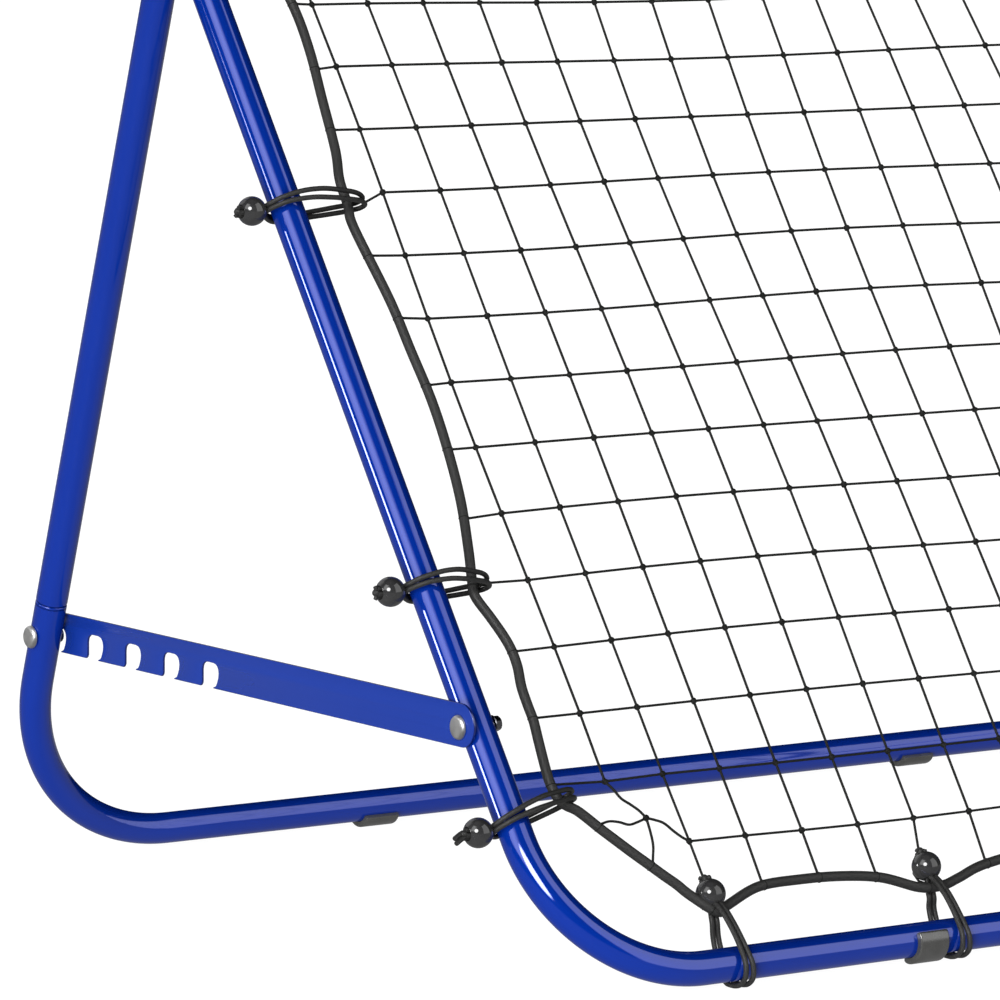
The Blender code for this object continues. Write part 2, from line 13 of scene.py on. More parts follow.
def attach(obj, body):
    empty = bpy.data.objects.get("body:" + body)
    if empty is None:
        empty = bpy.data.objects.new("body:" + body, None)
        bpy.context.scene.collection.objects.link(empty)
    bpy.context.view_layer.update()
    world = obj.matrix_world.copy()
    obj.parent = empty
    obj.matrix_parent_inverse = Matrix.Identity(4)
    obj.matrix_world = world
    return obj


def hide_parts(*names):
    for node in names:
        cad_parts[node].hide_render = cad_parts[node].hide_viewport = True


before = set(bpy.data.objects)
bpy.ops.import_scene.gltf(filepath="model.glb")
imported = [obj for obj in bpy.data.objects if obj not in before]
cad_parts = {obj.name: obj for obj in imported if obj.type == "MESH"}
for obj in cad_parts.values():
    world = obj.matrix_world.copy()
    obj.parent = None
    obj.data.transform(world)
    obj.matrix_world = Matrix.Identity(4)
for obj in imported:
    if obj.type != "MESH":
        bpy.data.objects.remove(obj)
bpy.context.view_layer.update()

MM = 0.001
scene = bpy.context.scene

# ---- the object's own sizes, as in the CAD ----------------------------------
TUBE_R = 12.5
FRONT_W, FRONT_L, FRONT_BEND = 1200.0, 1280.0, 115.0
FRONT_SEAM, PIVOT_V = 885.0, 858.0
FRONT_LEAN, REAR_LEAN = math.radians(34.81), math.radians(19.05)
REAR_OUT, REAR_BEND, REAR_SEAM, LOCK_V = 28.8, 147.0, 214.0, 184.6
BASE_DEPTH, FOOT_R, FLOOR_DROP, STAMP_OUT = 733.0, 17.3, 17.3, 10.5
PLATE_BOLT_V, PLATE_T, PLATE_X, PLATE_TOP, PLATE_BOTTOM, PLATE_REAR = 207.0, 2.0, 13.8, 17.5, -14.3, 588.0
NOTCH_PITCH, NOTCH_FIRST, NOTCH_COUNT = 56.1, 344.4, 5
BOLT_R, HOLE_R, HEAD_R = 3.0, 3.4, 9.0
ROPE_R, CORD_R, TWINE_R, BALL_R, BALL_HOLE_R = 3.75, 1.95, 1.0, 11.0, 4.8
SIDE_TIES = (124.0, 319.0, 640.0, 961.0, 1156.0)
BOTTOM_TIES = (143.6, 341.4, 600.0, 858.6, 1056.4)
TOP_TIES = (400.0, 800.0)
TIE_BALL_OUT = 31.0
# a side tie's height: the rope's place there, the loop's far end, and how far that end is shifted along the tube
SIDE_HOLD = {124.0: (47.5, 58.8, 20.3), 319.0: (41.0, 53.6, 0.0), 640.0: (54.0, 68.4, 3.0), 961.0: (48.0, 62.0, 0.0), 1156.0: (47.5, 58.8, -20.3)}
# a bar tie's place: the rope's and the ball's distance from the bar's axis
ROPE_LIFT = 2.0
BAR_HOLD = {143.6: (40.4, 55.2), 341.4: (38.5, 55.7), 600.0: (38.5, 55.7), 858.6: (38.5, 55.7), 1056.4: (40.4, 55.2), 400.0: (38.5, 55.7), 800.0: (38.5, 55.7)}
ORIGIN_Y = -365.6

half = FRONT_W / 2
pivot_y = PIVOT_V * math.sin(FRONT_LEAN)
pivot_z = PIVOT_V * math.cos(FRONT_LEAN)
REAR_L = pivot_z / math.cos(REAR_LEAN)
rear_half = half + REAR_OUT
down = -REAR_L


def axes(location, tilt, turn=0.0):
    return Matrix.Translation(Vector(location)) @ Matrix.Rotation(tilt, 4, "X") @ Matrix.Rotation(turn, 4, "Z")


FRONT = axes((0, ORIGIN_Y, FLOOR_DROP), math.pi / 2 - FRONT_LEAN)
REAR = axes((0, ORIGIN_Y + pivot_y, FLOOR_DROP + pivot_z), math.pi / 2 + REAR_LEAN)
plate_y, plate_z = PLATE_BOLT_V * math.sin(FRONT_LEAN), PLATE_BOLT_V * math.cos(FRONT_LEAN)
lock_y, lock_z = BASE_DEPTH - LOCK_V * math.sin(REAR_LEAN), LOCK_V * math.cos(REAR_LEAN)
plate_tilt = math.atan2(lock_z - plate_z, lock_y - plate_y)
PLATE = {side: axes((sign * half, ORIGIN_Y + plate_y, FLOOR_DROP + plate_z), plate_tilt)
         for side, sign in (("left", -1), ("right", 1))}
# A profile drawn in x and y is stood up across the tubes: own x to +y, y to +z, z to +x.
ACROSS = Matrix(((0, 0, 1, 0), (1, 0, 0, 0), (0, 1, 0, 0), (0, 0, 0, 1)))


# ---- node helpers -----------------------------------------------------------
class Graph:
    """Short names for the shader nodes that the finishes are built from."""

    def __init__(self, tree):
        self.tree = tree
        self.nodes = tree.nodes
        self.links = tree.links

    def node(self, kind, **settings):
        made = self.nodes.new(kind)
        for key, value in settings.items():
            setattr(made, key, value)
        return made

    def put(self, socket, value):
        if hasattr(value, "is_output"):
            self.links.new(value, socket)
        elif value is not None:
            socket.default_value = value

    def math(self, operation, a, b=None, c=None, clamp=False):
        made = self.node("ShaderNodeMath", operation=operation, use_clamp=clamp)
        for socket, value in zip(made.inputs, (a, b, c)):
            self.put(socket, value)
        return made.outputs[0]

    def step(self, value, low, high, to_low=0.0, to_high=1.0):
        made = self.node("ShaderNodeMapRange", interpolation_type="SMOOTHSTEP")
        for socket, given in zip(made.inputs, (value, low, high, to_low, to_high)):
            self.put(socket, given)
        return made.outputs[0]

    def dot(self, vector, direction):
        made = self.node("ShaderNodeVectorMath", operation="DOT_PRODUCT")
        self.put(made.inputs[0], vector)
        made.inputs[1].default_value = direction
        return made.outputs["Value"]

    def scaled(self, vector, scale):
        made = self.node("ShaderNodeMapping")
        self.put(made.inputs["Vector"], vector)
        made.inputs["Scale"].default_value = scale
        return made.outputs[0]

    def noise(self, vector, scale, detail=3.0, roughness=0.5):
        made = self.node("ShaderNodeTexNoise")
        self.put(made.inputs["Vector"], vector)
        made.inputs["Scale"].default_value = scale
        made.inputs["Detail"].default_value = detail
        made.inputs["Roughness"].default_value = roughness
        return made.outputs[0]

    def voronoi(self, vector, scale):
        made = self.node("ShaderNodeTexVoronoi")
        self.put(made.inputs["Vector"], vector)
        made.inputs["Scale"].default_value = scale
        return made.outputs["Distance"]

    def mix(self, factor, first, second):
        made = self.node("ShaderNodeMix", data_type="RGBA")
        self.put(made.inputs["Factor"], factor)
        for name, value in (("A", first), ("B", second)):
            socket = [s for s in made.inputs if s.name == name and s.type == "RGBA"][0]
            self.put(socket, (*value, 1.0) if isinstance(value, tuple) else value)
        return [s for s in made.outputs if s.type == "RGBA"][0]

    def bump(self, height, strength, distance, normal=None):
        made = self.node("ShaderNodeBump")
        made.inputs["Strength"].default_value = strength
        made.inputs["Distance"].default_value = distance
        self.put(made.inputs["Height"], height)
        if normal is not None:
            self.put(made.inputs["Normal"], normal)
        return made.outputs[0]


def finish_material(name, **constants):
    """A new material with its shader's fixed values set on the shader itself."""
    made = bpy.data.materials.new(name)
    made.use_nodes = True
    shader = made.node_tree.nodes["Principled BSDF"]
    for key, value in constants.items():
        shader.inputs[key.replace("_", " ")].default_value = value
    graph = Graph(made.node_tree)
    place = graph.node("ShaderNodeTexCoord").outputs["Object"]
    return made, graph, shader, place


def enamel(name, base, deep, roughness, metallic, peel):
    """Baked enamel: a slight orange peel, a drifting gloss and a little colour drift."""
    made, g, shader, place = finish_material(name, Metallic=metallic, IOR=1.65)
    drift = g.noise(place, 9.0, 2.0)
    fine = g.noise(place, 620.0, 2.0, 0.45)
    wide = g.noise(place, 130.0, 2.0, 0.4)
    rub = g.noise(g.scaled(place, (1.0, 0.25, 0.25)), 260.0, 4.0, 0.6)
    g.put(shader.inputs["Base Color"], g.mix(g.step(drift, 0.3, 0.7), deep, base))
    gloss = g.math("MULTIPLY_ADD", g.step(drift, 0.25, 0.75), 0.02, roughness)
    gloss = g.math("ADD", gloss, g.math("MULTIPLY", g.step(rub, 0.62, 0.8), 0.05))
    g.put(shader.inputs["Roughness"], gloss)
    height = g.math("ADD", g.math("MULTIPLY", fine, 0.35), wide)
    normal = g.bump(height, peel, 0.00035)
    g.put(shader.inputs["Normal"], normal)
    return made


def plain_steel(name, base, dark, roughness, grain, spread):
    """Plated steel with a fine grain and faint blotches in its plating."""
    made, g, shader, place = finish_material(name, Metallic=1.0, IOR=1.5)
    blotch = g.noise(place, 210.0, 3.0, 0.55)
    grain_height = g.noise(g.scaled(place, (1.0, 1.0, 1.0)), 2600.0, 2.0, 0.6)
    g.put(shader.inputs["Base Color"], g.mix(g.step(blotch, 0.3, 0.72), dark, base))
    g.put(shader.inputs["Roughness"], g.math("MULTIPLY_ADD", g.step(blotch, 0.3, 0.7), spread, roughness))
    g.put(shader.inputs["Normal"], g.bump(grain_height, grain, 0.00012))
    return made


def moulded(name, base, light, roughness, grain_scale, grain, spread=0.06, ior=1.5):
    """Moulded plastic or rubber: a fine pebble grain and a soft unevenness in its sheen."""
    made, g, shader, place = finish_material(name, Metallic=0.0, IOR=ior)
    cloud = g.noise(place, 85.0, 3.0, 0.5)
    pebble = g.voronoi(place, grain_scale)
    g.put(shader.inputs["Base Color"], g.mix(g.step(cloud, 0.35, 0.7), base, light))
    g.put(shader.inputs["Roughness"], g.math("MULTIPLY_ADD", cloud, spread, roughness))
    g.put(shader.inputs["Normal"], g.bump(pebble, grain, 0.0001))
    return made


def braided(name, base, light, pitch, strands, depth, roughness, specular, twist=False):
    """A braided or twisted cover, laid out along the route's own coordinates."""
    made, g, shader, place = finish_material(name, Metallic=0.0, IOR=1.45, Specular_IOR_Level=specular)
    route = g.node("ShaderNodeUVMap", uv_map="route").outputs[0]
    split = g.node("ShaderNodeSeparateXYZ")
    g.put(split.inputs[0], route)
    along = g.math("MULTIPLY", split.outputs[0], math.tau / pitch)
    around = g.math("MULTIPLY", split.outputs[1], math.tau * strands)
    one = g.math("SINE", g.math("ADD", along, around))
    if twist:
        weave = g.math("MULTIPLY_ADD", one, 0.5, 0.5)
    else:
        two = g.math("SINE", g.math("SUBTRACT", along, around))
        weave = g.math("MULTIPLY_ADD", g.math("MAXIMUM", one, two), 0.5, 0.5)
    fibre = g.noise(g.scaled(place, (1.0, 1.0, 1.0)), 2400.0, 2.0, 0.6)
    cloud = g.noise(place, 60.0, 2.0, 0.5)
    # The colour is darker in the braid's grooves and lighter on its crowns, following the weave's height: painted
    # shade. The cloud adds a random drift in tone.
    shade = g.math("ADD", g.math("MULTIPLY", weave, 0.55), g.math("MULTIPLY", cloud, 0.45))
    g.put(shader.inputs["Base Color"], g.mix(g.step(shade, 0.25, 0.85), base, light))
    g.put(shader.inputs["Roughness"], g.math("MULTIPLY_ADD", fibre, 0.12, roughness))
    height = g.math("ADD", weave, g.math("MULTIPLY", fibre, 0.35))
    g.put(shader.inputs["Normal"], g.bump(height, 0.8, depth))
    return made


BLUE = enamel("blue_gloss_enamel", (0.0010, 0.0150, 0.165), (0.0007, 0.0138, 0.157), 0.05, 0.29, 0.008)
BLUE_PLATE = enamel("blue_satin_enamel", (0.0045, 0.0225, 0.190), (0.0040, 0.0215, 0.182), 0.20, 0.33, 0.012)
# A darker copy of the plate's enamel for the plate's edge faces: painted shade.
BLUE_PAINTED_EDGE_SHADE = enamel("blue_painted_edge_shade", (0.0004, 0.006, 0.075), (0.0003, 0.005, 0.065), 0.2, 0.2, 0.012)
SILVER = plain_steel("zinc_plate", (0.54, 0.54, 0.535), (0.47, 0.47, 0.47), 0.40, 0.25, 0.08)
DARK_STEEL = plain_steel("dark_plate", (0.16, 0.16, 0.17), (0.09, 0.09, 0.10), 0.16, 0.2, 0.08)
RUBBER = moulded("grey_moulded_pad", (0.022, 0.022, 0.021), (0.028, 0.028, 0.027), 0.20, 1500.0, 0.08, ior=1.65)
BALL = moulded("black_moulded_ball", (0.0125, 0.0125, 0.013), (0.016, 0.016, 0.016), 0.05, 1200.0, 0.015, spread=0.03)
CORD = braided("elastic_cord_cover", (0.0098, 0.0098, 0.0098), (0.0134, 0.0134, 0.0130), 0.0052, 4, 0.00005, 0.44, 0.22)
ROPE = braided("edge_rope_cover", (0.0104, 0.0104, 0.0104), (0.0142, 0.0142, 0.0138), 0.0080, 8, 0.00007, 0.45, 0.22)
TWINE = braided("net_twine", (0.0036, 0.0039, 0.0036), (0.0076, 0.0077, 0.0073), 0.0044, 3, 0.00012, 0.6, 0.12, twist=True)


# ---- mesh helpers -----------------------------------------------------------
def to_object(name, verts, faces, finish, matrix, uvs=None, sharp=40, smooth=True):
    """A mesh given in millimetres in its frame's axes, stored in metres in the world's."""
    mesh = bpy.data.meshes.new(name)
    world = np.array(matrix)
    points = (np.asarray(verts, float) @ world[:3, :3].T + world[:3, 3]) * MM
    mesh.from_pydata(points.tolist(), [], faces)
    if uvs is not None:
        layer = mesh.uv_layers.new(name="route")
        layer.data.foreach_set("uv", np.asarray(uvs, np.float32).ravel())
    mesh.materials.append(finish)
    work = bmesh.new()
    work.from_mesh(mesh)
    bmesh.ops.recalc_face_normals(work, faces=work.faces)
    work.to_mesh(mesh)
    work.free()
    mesh.validate()
    if smooth:
        mesh.shade_smooth()
        mesh.set_sharp_from_angle(angle=math.radians(sharp))
    obj = bpy.data.objects.new(name, mesh)
    scene.collection.objects.link(obj)
    return obj


def stand_for(obj, body, slot, *nodes):
    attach(obj, body)
    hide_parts(*nodes)
    return obj


def arc(centre, radius, start, end, count):
    made = []
    for index in range(count + 1):
        angle = math.radians(start + (end - start) * index / count)
        made.append((centre[0] + radius * math.cos(angle), centre[1] + radius * math.sin(angle)))
    return made


def loft(rings, caps=(True, True), closed=False):
    """Quads between rings of equal size, with flat ends."""
    count, sides = len(rings), len(rings[0])
    verts = np.concatenate([np.asarray(ring, float) for ring in rings])
    faces = []
    for i in range(count if closed else count - 1):
        a, b = i * sides, ((i + 1) % count) * sides
        for j in range(sides):
            k = (j + 1) % sides
            faces.append((a + j, a + k, b + k, b + j))
    if not closed:
        if caps[0]:
            faces.append(tuple(reversed(range(sides))))
        if caps[1]:
            faces.append(tuple(range((count - 1) * sides, count * sides)))
    return verts, faces


def plane_tube(route, start=(), end=(), sides=64, shape=None):
    """Rings of a tube whose route lies in the x-y plane. start and end are (distance
    inward from that end, radius) pairs for its lips and reduced neck."""
    points = [np.array((x, y, 0.0)) for x, y in route]
    tangents = []
    for i in range(len(points)):
        before = points[max(i - 1, 0)]
        after = points[min(i + 1, len(points) - 1)]
        step_in = points[i] - before
        step_out = after - points[i]
        total = np.zeros(3)
        for step in (step_in, step_out):
            length = np.linalg.norm(step)
            if length > 1e-9:
                total += step / length
        tangents.append(total / np.linalg.norm(total))
    stations = [(points[0] + tangents[0] * d, tangents[0], r) for d, r in start]
    stations += [(p, t, TUBE_R) for p, t in zip(points[1 if start else 0:len(points) - (1 if end else 0)],
                                                tangents[1 if start else 0:len(points) - (1 if end else 0)])]
    stations += [(points[-1] - tangents[-1] * d, tangents[-1], r) for d, r in reversed(end)]
    rings = []
    for centre, tangent, radius in stations:
        side = np.array((-tangent[1], tangent[0], 0.0))
        ring = []
        for j in range(sides):
            angle = math.tau * j / sides
            local = (radius * math.cos(angle), radius * math.sin(angle))
            ring.append(centre + side * local[0] + np.array((0, 0, local[1])))
        rings.append(np.array(ring))
    return rings


LIP = [(0.0, 10.7), (0.0, 11.7), (0.12, 12.08), (0.4, 12.36), (0.8, 12.47), (1.3, TUBE_R), (2.5, TUBE_R)]
NECK = [(-2.0, 10.7)] + LIP


def straight(first, second, spacing):
    steps = max(1, round(math.dist(first, second) / spacing))
    return [(first[0] + (second[0] - first[0]) * i / steps, first[1] + (second[1] - first[1]) * i / steps)
            for i in range(steps + 1)]


def joined(*runs):
    made = list(runs[0])
    for run in runs[1:]:
        made += list(run)[1:] if math.dist(made[-1], run[0]) < 1e-6 else list(run)
    return made


# ---- frame tubes ------------------------------------------------------------
low_left = joined(straight((-half, FRONT_SEAM), (-half, FRONT_BEND), 40.0),
                  arc((-half + FRONT_BEND, FRONT_BEND), FRONT_BEND, 180, 270, 44))
low_route = joined(low_left, straight((-half + FRONT_BEND, 0.0), (half - FRONT_BEND, 0.0), 40.0),
                   [(-x, y) for x, y in reversed(low_left)])
verts, faces = loft(plane_tube(low_route, NECK, NECK))
front_lower = to_object("look_front_lower_frame", verts, faces, BLUE, FRONT)
stand_for(front_lower, "front_frame", "blue_tube", "front_lower_frame")

upper_left = joined(straight((-half, FRONT_SEAM + 0.7), (-half, FRONT_L - FRONT_BEND), 40.0),
                    arc((-half + FRONT_BEND, FRONT_L - FRONT_BEND), FRONT_BEND, 180, 90, 44))
upper_route = joined(upper_left, straight((-half + FRONT_BEND, FRONT_L), (half - FRONT_BEND, FRONT_L), 40.0),
                     [(-x, y) for x, y in reversed(upper_left)])
verts, faces = loft(plane_tube(upper_route, LIP, LIP))
front_upper = to_object("look_front_upper_frame", verts, faces, BLUE, FRONT)
stand_for(front_upper, "front_frame", "blue_tube", "front_upper_frame")


def soft_limit(value, limit, blend):
    """value held under limit, with a rounded shoulder."""
    if value <= limit - blend:
        return value
    if value >= limit + blend:
        return limit
    t = (value - limit + blend) / (2 * blend)
    return limit - blend + 2 * blend * (t - t * t / 2)


def stamp(verts, centre_x, inward, base):
    """Presses the flat round the lock bolt into an upright's inner side."""
    low = LOCK_V - 19.6
    for vertex in verts:
        height = vertex[1] - base
        across = (vertex[0] - centre_x) * inward
        if height < low - 16 or abs(vertex[0] - centre_x) > 2 * TUBE_R or across <= 0:
            continue
        # the pressed shape comes to a rounded point at its lower end
        reach = (height - (low - 10.0)) / 13.0
        reach = max(0.0, min(1.0, reach))
        depth = reach * reach * (3 - 2 * reach)
        limit = TUBE_R - (TUBE_R - STAMP_OUT) * depth
        if depth > 0:
            vertex[0] = centre_x + inward * soft_limit(across, limit, 0.25)


def upright(sign):
    """The tall side of the rear floor frame, with closer rings where it is stamped."""
    x = sign * rear_half
    return joined(straight((x, REAR_SEAM + down), (x, REAR_SEAM - 56 + down), 1.4),
                  straight((x, REAR_SEAM - 56 + down), (x, REAR_BEND + down), 6.0))


rear_left = joined(upright(-1), arc((-rear_half + REAR_BEND, REAR_BEND + down), REAR_BEND, 180, 270, 48))
rear_route = joined(rear_left, straight((-rear_half + REAR_BEND, down), (rear_half - REAR_BEND, down), 40.0),
                    [(-x, y) for x, y in reversed(rear_left)])
verts, faces = loft(plane_tube(rear_route, NECK, NECK, sides=96))
stamp(verts, -rear_half, 1, down)
stamp(verts, rear_half, -1, down)
rear_floor = to_object("look_rear_floor_frame", verts, faces, BLUE, REAR)
stand_for(rear_floor, "rear_frame", "blue_tube", "rear_floor_frame")


def rear_leg(side, sign):
    """The straight leg tube; its upper end is open, with a rounded lip and a bore."""
    x = sign * rear_half
    route = straight((x, REAR_SEAM + 0.7 + down), (x, REAR_L + 15.0 + down), 45.0)
    rings = plane_tube(route, LIP, [(0.45, TUBE_R), (0.12, TUBE_R - 0.12), (0.0, TUBE_R - 0.4)])
    top = REAR_L + 15.0 + down
    for depth, radius in ((0.0, 11.3), (0.15, 11.1), (0.4, 11.0), (90.0, 11.0)):
        rings.append(np.array([(x + radius * (p[0] - x) / (TUBE_R - 0.4), top - depth, radius * p[2] / (TUBE_R - 0.4)) for p in rings[len(rings) - 1] if True])
                     if depth == 0.0 else
                     np.array([(x + radius * (p[0] - x) / last, top - depth, radius * p[2] / last) for p in rings[-1]]))
        last = radius
    verts, faces = loft(rings)
    leg = to_object(f"look_rear_leg_{side}", verts, faces, BLUE, REAR)
    return stand_for(leg, "rear_frame", "blue_tube", f"rear_leg_{side}")


for side, sign in (("left", -1), ("right", 1)):
    rear_leg(side, sign)


# ---- turned and flat pieces -------------------------------------------------
def turned(profile, steps):
    """A closed turned solid about z from (radius, height) pairs, top to bottom."""
    rings, tips = [], []
    for radius, height in profile:
        if radius <= 1e-6:
            tips.append(height)
            continue
        rings.append(np.array([(radius * math.cos(math.tau * k / steps), radius * math.sin(math.tau * k / steps), height)
                               for k in range(steps)]))
    verts, faces = loft(rings, caps=(True, True))
    if profile[0][0] > 1e-6 and profile[-1][0] > 1e-6:
        # bored through: its last ring joins its first
        verts, faces = loft(rings, closed=True)
    return verts, faces


def rounded(points, radius, steps=4, closed=True):
    """A polyline with each corner replaced by a small arc of the given radius or radii."""
    count = len(points)
    radii = radius if isinstance(radius, (list, tuple)) else [radius] * count
    made = []
    for index, point in enumerate(points):
        if not closed and index in (0, count - 1) or radii[index] <= 0:
            made.append(tuple(point))
            continue
        here = np.array(point, float)
        before = np.array(points[index - 1], float) - here
        after = np.array(points[(index + 1) % count], float) - here
        lb, la = np.linalg.norm(before), np.linalg.norm(after)
        before, after = before / lb, after / la
        cosine = float(np.clip(before @ after, -1, 1))
        angle = math.acos(cosine)
        if angle > math.radians(176):
            made.append(tuple(point))
            continue
        reach = min(radii[index] / math.tan(angle / 2), 0.45 * lb, 0.45 * la)
        bend = reach * math.tan(angle / 2)
        bisector = before + after
        centre = here + bisector / np.linalg.norm(bisector) * bend / math.sin(angle / 2)
        first, last = here + before * reach, here + after * reach
        a0 = math.atan2(*(first - centre)[::-1])
        a1 = math.atan2(*(last - centre)[::-1])
        while a1 - a0 > math.pi:
            a1 -= math.tau
        while a1 - a0 < -math.pi:
            a1 += math.tau
        for step in range(steps + 1):
            a = a0 + (a1 - a0) * step / steps
            made.append((centre[0] + bend * math.cos(a), centre[1] + bend * math.sin(a)))
    return made


def along_x(location, sign):
    """A piece drawn along its own z, laid outboard along x at a place in the frame."""
    return Matrix.Translation(Vector(location)) @ Matrix.Rotation(sign * math.pi / 2, 4, "Y")


def bolt(name, matrix, location, sign, head_low, head_high, shank_end, body, finish=None):
    """A flat-faced disc head with a softly rolled rim, on a plain shank."""
    rise = head_high - head_low
    profile = [(0.0, head_high), (HEAD_R * 0.4, head_high - 0.02), (HEAD_R * 0.66, head_high - 0.035 * rise),
               (HEAD_R * 0.79, head_high - 0.07 * rise), (HEAD_R * 0.86, head_high - 0.13 * rise), (HEAD_R * 0.91, head_high - 0.26 * rise),
               (HEAD_R * 0.95, head_high - 0.44 * rise), (HEAD_R * 0.985, head_high - 0.68 * rise), (HEAD_R, head_low + 0.14 * rise),
               (HEAD_R * 0.985, head_low + 0.03), (HEAD_R * 0.95, head_low), (BOLT_R + 0.3, head_low), (BOLT_R, head_low - 0.3)]
    # the last few turns of thread show beyond the nut
    turns = 7
    for k in range(turns):
        base = shank_end + 0.9 + (turns - k) * 0.8
        profile += [(BOLT_R, base), (BOLT_R - 0.32, base - 0.4)]
    profile += [(BOLT_R, shank_end + 0.9), (BOLT_R - 0.55, shank_end), (0.0, shank_end)]
    verts, faces = turned(profile, 64)
    obj = to_object(name, verts, faces, finish or SILVER, matrix @ along_x(location, sign), sharp=30)
    return stand_for(obj, body, "bolt_silver", name.replace("look_", ""))


def hex_points(across, steps_per_side, round_by):
    corners = [(across / 2 / math.cos(math.pi / 6) * math.cos(math.radians(60 * k + 6)),
                across / 2 / math.cos(math.pi / 6) * math.sin(math.radians(60 * k + 6))) for k in range(6)]
    made = []
    for k in range(6):
        (x0, y0), (x1, y1) = corners[k], corners[(k + 1) % 6]
        for s in range(steps_per_side):
            t = s / steps_per_side
            made.append((x0 + (x1 - x0) * t, y0 + (y1 - y0) * t))
    return np.array(made)


def flange_nut(name, matrix, location, sign, body):
    """A hexagon nut, chamfered at its crown, on a round flange."""
    count, flange_r, across, tall = 48, 6.5, 10.0, 6.4
    ring_angles = np.array([math.atan2(y, x) for x, y in hex_points(across, 8, 0)])
    circle = np.stack([np.cos(ring_angles), np.sin(ring_angles)], 1)
    hexagon = hex_points(across, 8, 0)

    def ring(shape, z):
        return np.column_stack([shape, np.full(count, z)])

    def crown(limit, z):
        lengths = np.linalg.norm(hexagon, axis=1)
        return ring(hexagon * np.minimum(1.0, limit / lengths)[:, None], z)

    rings = [ring(circle * HOLE_R, 0.0), ring(circle * (flange_r - 0.25), 0.0), ring(circle * flange_r, 0.25), ring(circle * flange_r, 0.85),
             ring(circle * (flange_r - 0.2), 1.15), ring(circle * (flange_r - 0.75), 1.4), ring(hexagon * 0.995, 1.75), ring(hexagon, 1.95),
             crown(5.78, tall - 0.95), crown(5.45, tall - 0.45), crown(5.05, tall - 0.12), crown(4.8, tall), ring(circle * (HOLE_R + 0.55), tall),
             ring(circle * (HOLE_R + 0.1), tall - 0.5), ring(circle * HOLE_R, tall - 0.9)]
    verts, faces = loft(rings, closed=True)
    obj = to_object(name, verts, faces, DARK_STEEL, matrix @ along_x(location, -sign), sharp=26)
    return stand_for(obj, body, "nut_dark", name.replace("look_", ""))


def lock_nut(name, location, sign, tall):
    """A thin round nut between the stamped flat and the plate."""
    outline = rounded([(HOLE_R, 0.0), (5.8, 0.0), (5.8, tall), (HOLE_R, tall)], [0.15, 0.35, 0.45, 0.2], 3)
    rings = [np.array([(r * math.cos(math.tau * k / 48), r * math.sin(math.tau * k / 48), z) for k in range(48)]) for r, z in outline]
    verts, faces = loft(rings, closed=True)
    obj = to_object(name, verts, faces, DARK_STEEL, REAR @ along_x(location, -sign), sharp=30)
    return stand_for(obj, "rear_frame", "nut_dark", name.replace("look_", ""))


def plate_mesh(outlines, thickness, edge):
    """A flat outline with holes, with its edges broken, in its own x-y plane."""
    data = bpy.data.curves.new("outline", "CURVE")
    data.dimensions = "2D"
    data.fill_mode = "BOTH"
    data.extrude = (thickness / 2 - edge) * MM
    data.bevel_depth = edge * MM
    data.bevel_resolution = 2
    data.offset = -edge * MM
    for outline in outlines:
        spline = data.splines.new("POLY")
        spline.points.add(len(outline) - 1)
        for point, (x, y) in zip(spline.points, outline):
            point.co = (x * MM, y * MM, 0.0, 1.0)
        spline.use_cyclic_u = True
    guide = bpy.data.objects.new("outline_guide", data)
    scene.collection.objects.link(guide)
    bpy.context.view_layer.update()
    mesh = bpy.data.meshes.new_from_object(guide.evaluated_get(bpy.context.evaluated_depsgraph_get()))
    bpy.data.objects.remove(guide, do_unlink=True)
    work = bmesh.new()
    work.from_mesh(mesh)
    # Wide enough to close the fold that the broken edge makes in a sharp inner corner.
    bmesh.ops.remove_doubles(work, verts=work.verts, dist=0.00002)
    verts = [tuple(value / MM for value in vertex.co) for vertex in work.verts]
    work.verts.index_update()
    faces = [tuple(vertex.index for vertex in face.verts) for face in work.faces]
    # The faces across the plate's thickness, its edges, take the darker enamel as painted shade.
    painted_shade_rims = [index for index, face in enumerate(work.faces) if abs(face.normal.z) < 0.9]
    work.free()
    bpy.data.meshes.remove(mesh)
    return verts, faces, painted_shade_rims


def notch_points(wall):
    low, top = PLATE_BOTTOM, 5.2
    made = [(wall + 4.6, low), (wall + 3.0, low + 0.9), (wall + 1.9, low + 2.9), (wall + 1.9, top - 6.5)]
    made += [(wall + 1.0, top - 3.0), (wall - 2.2, top - 0.5), (wall - 6.5, top), (wall - 14.5, top - 0.1)]
    made += [(wall - 18.2, top - 1.0), (wall - 20.6, top - 3.4), (wall - 21.5, top - 7.0),
             (wall - 20.9, top - 10.8), (wall - 18.9, low + 4.2), (wall - 17.3, low + 2.1), (wall - 13.9, low + 0.9), (wall - 13.9, low)]
    return made


def plate_outline():
    radius = (PLATE_TOP - PLATE_BOTTOM) / 2
    mid = (PLATE_TOP + PLATE_BOTTOM) / 2
    front = arc((-2.5, mid), radius, 270, 90, 40)
    rear = arc((PLATE_REAR - 6, PLATE_TOP - 6), 6, 90, 0, 8) + arc((PLATE_REAR - 6, PLATE_BOTTOM + 6), 6, 0, -90, 8)
    lower = []
    for index in reversed(range(NOTCH_COUNT)):
        points = notch_points(NOTCH_FIRST + NOTCH_PITCH * index)
        radii = [2.2, 2.0, 2.2, 4.0, 4.0, 4.5, 5.0, 5.0, 4.5, 4.5, 5.0, 6.0, 6.0, 2.5, 0.25, 0.25]
        lower += rounded(points, radii, 3, closed=False)
    return front + rear + lower


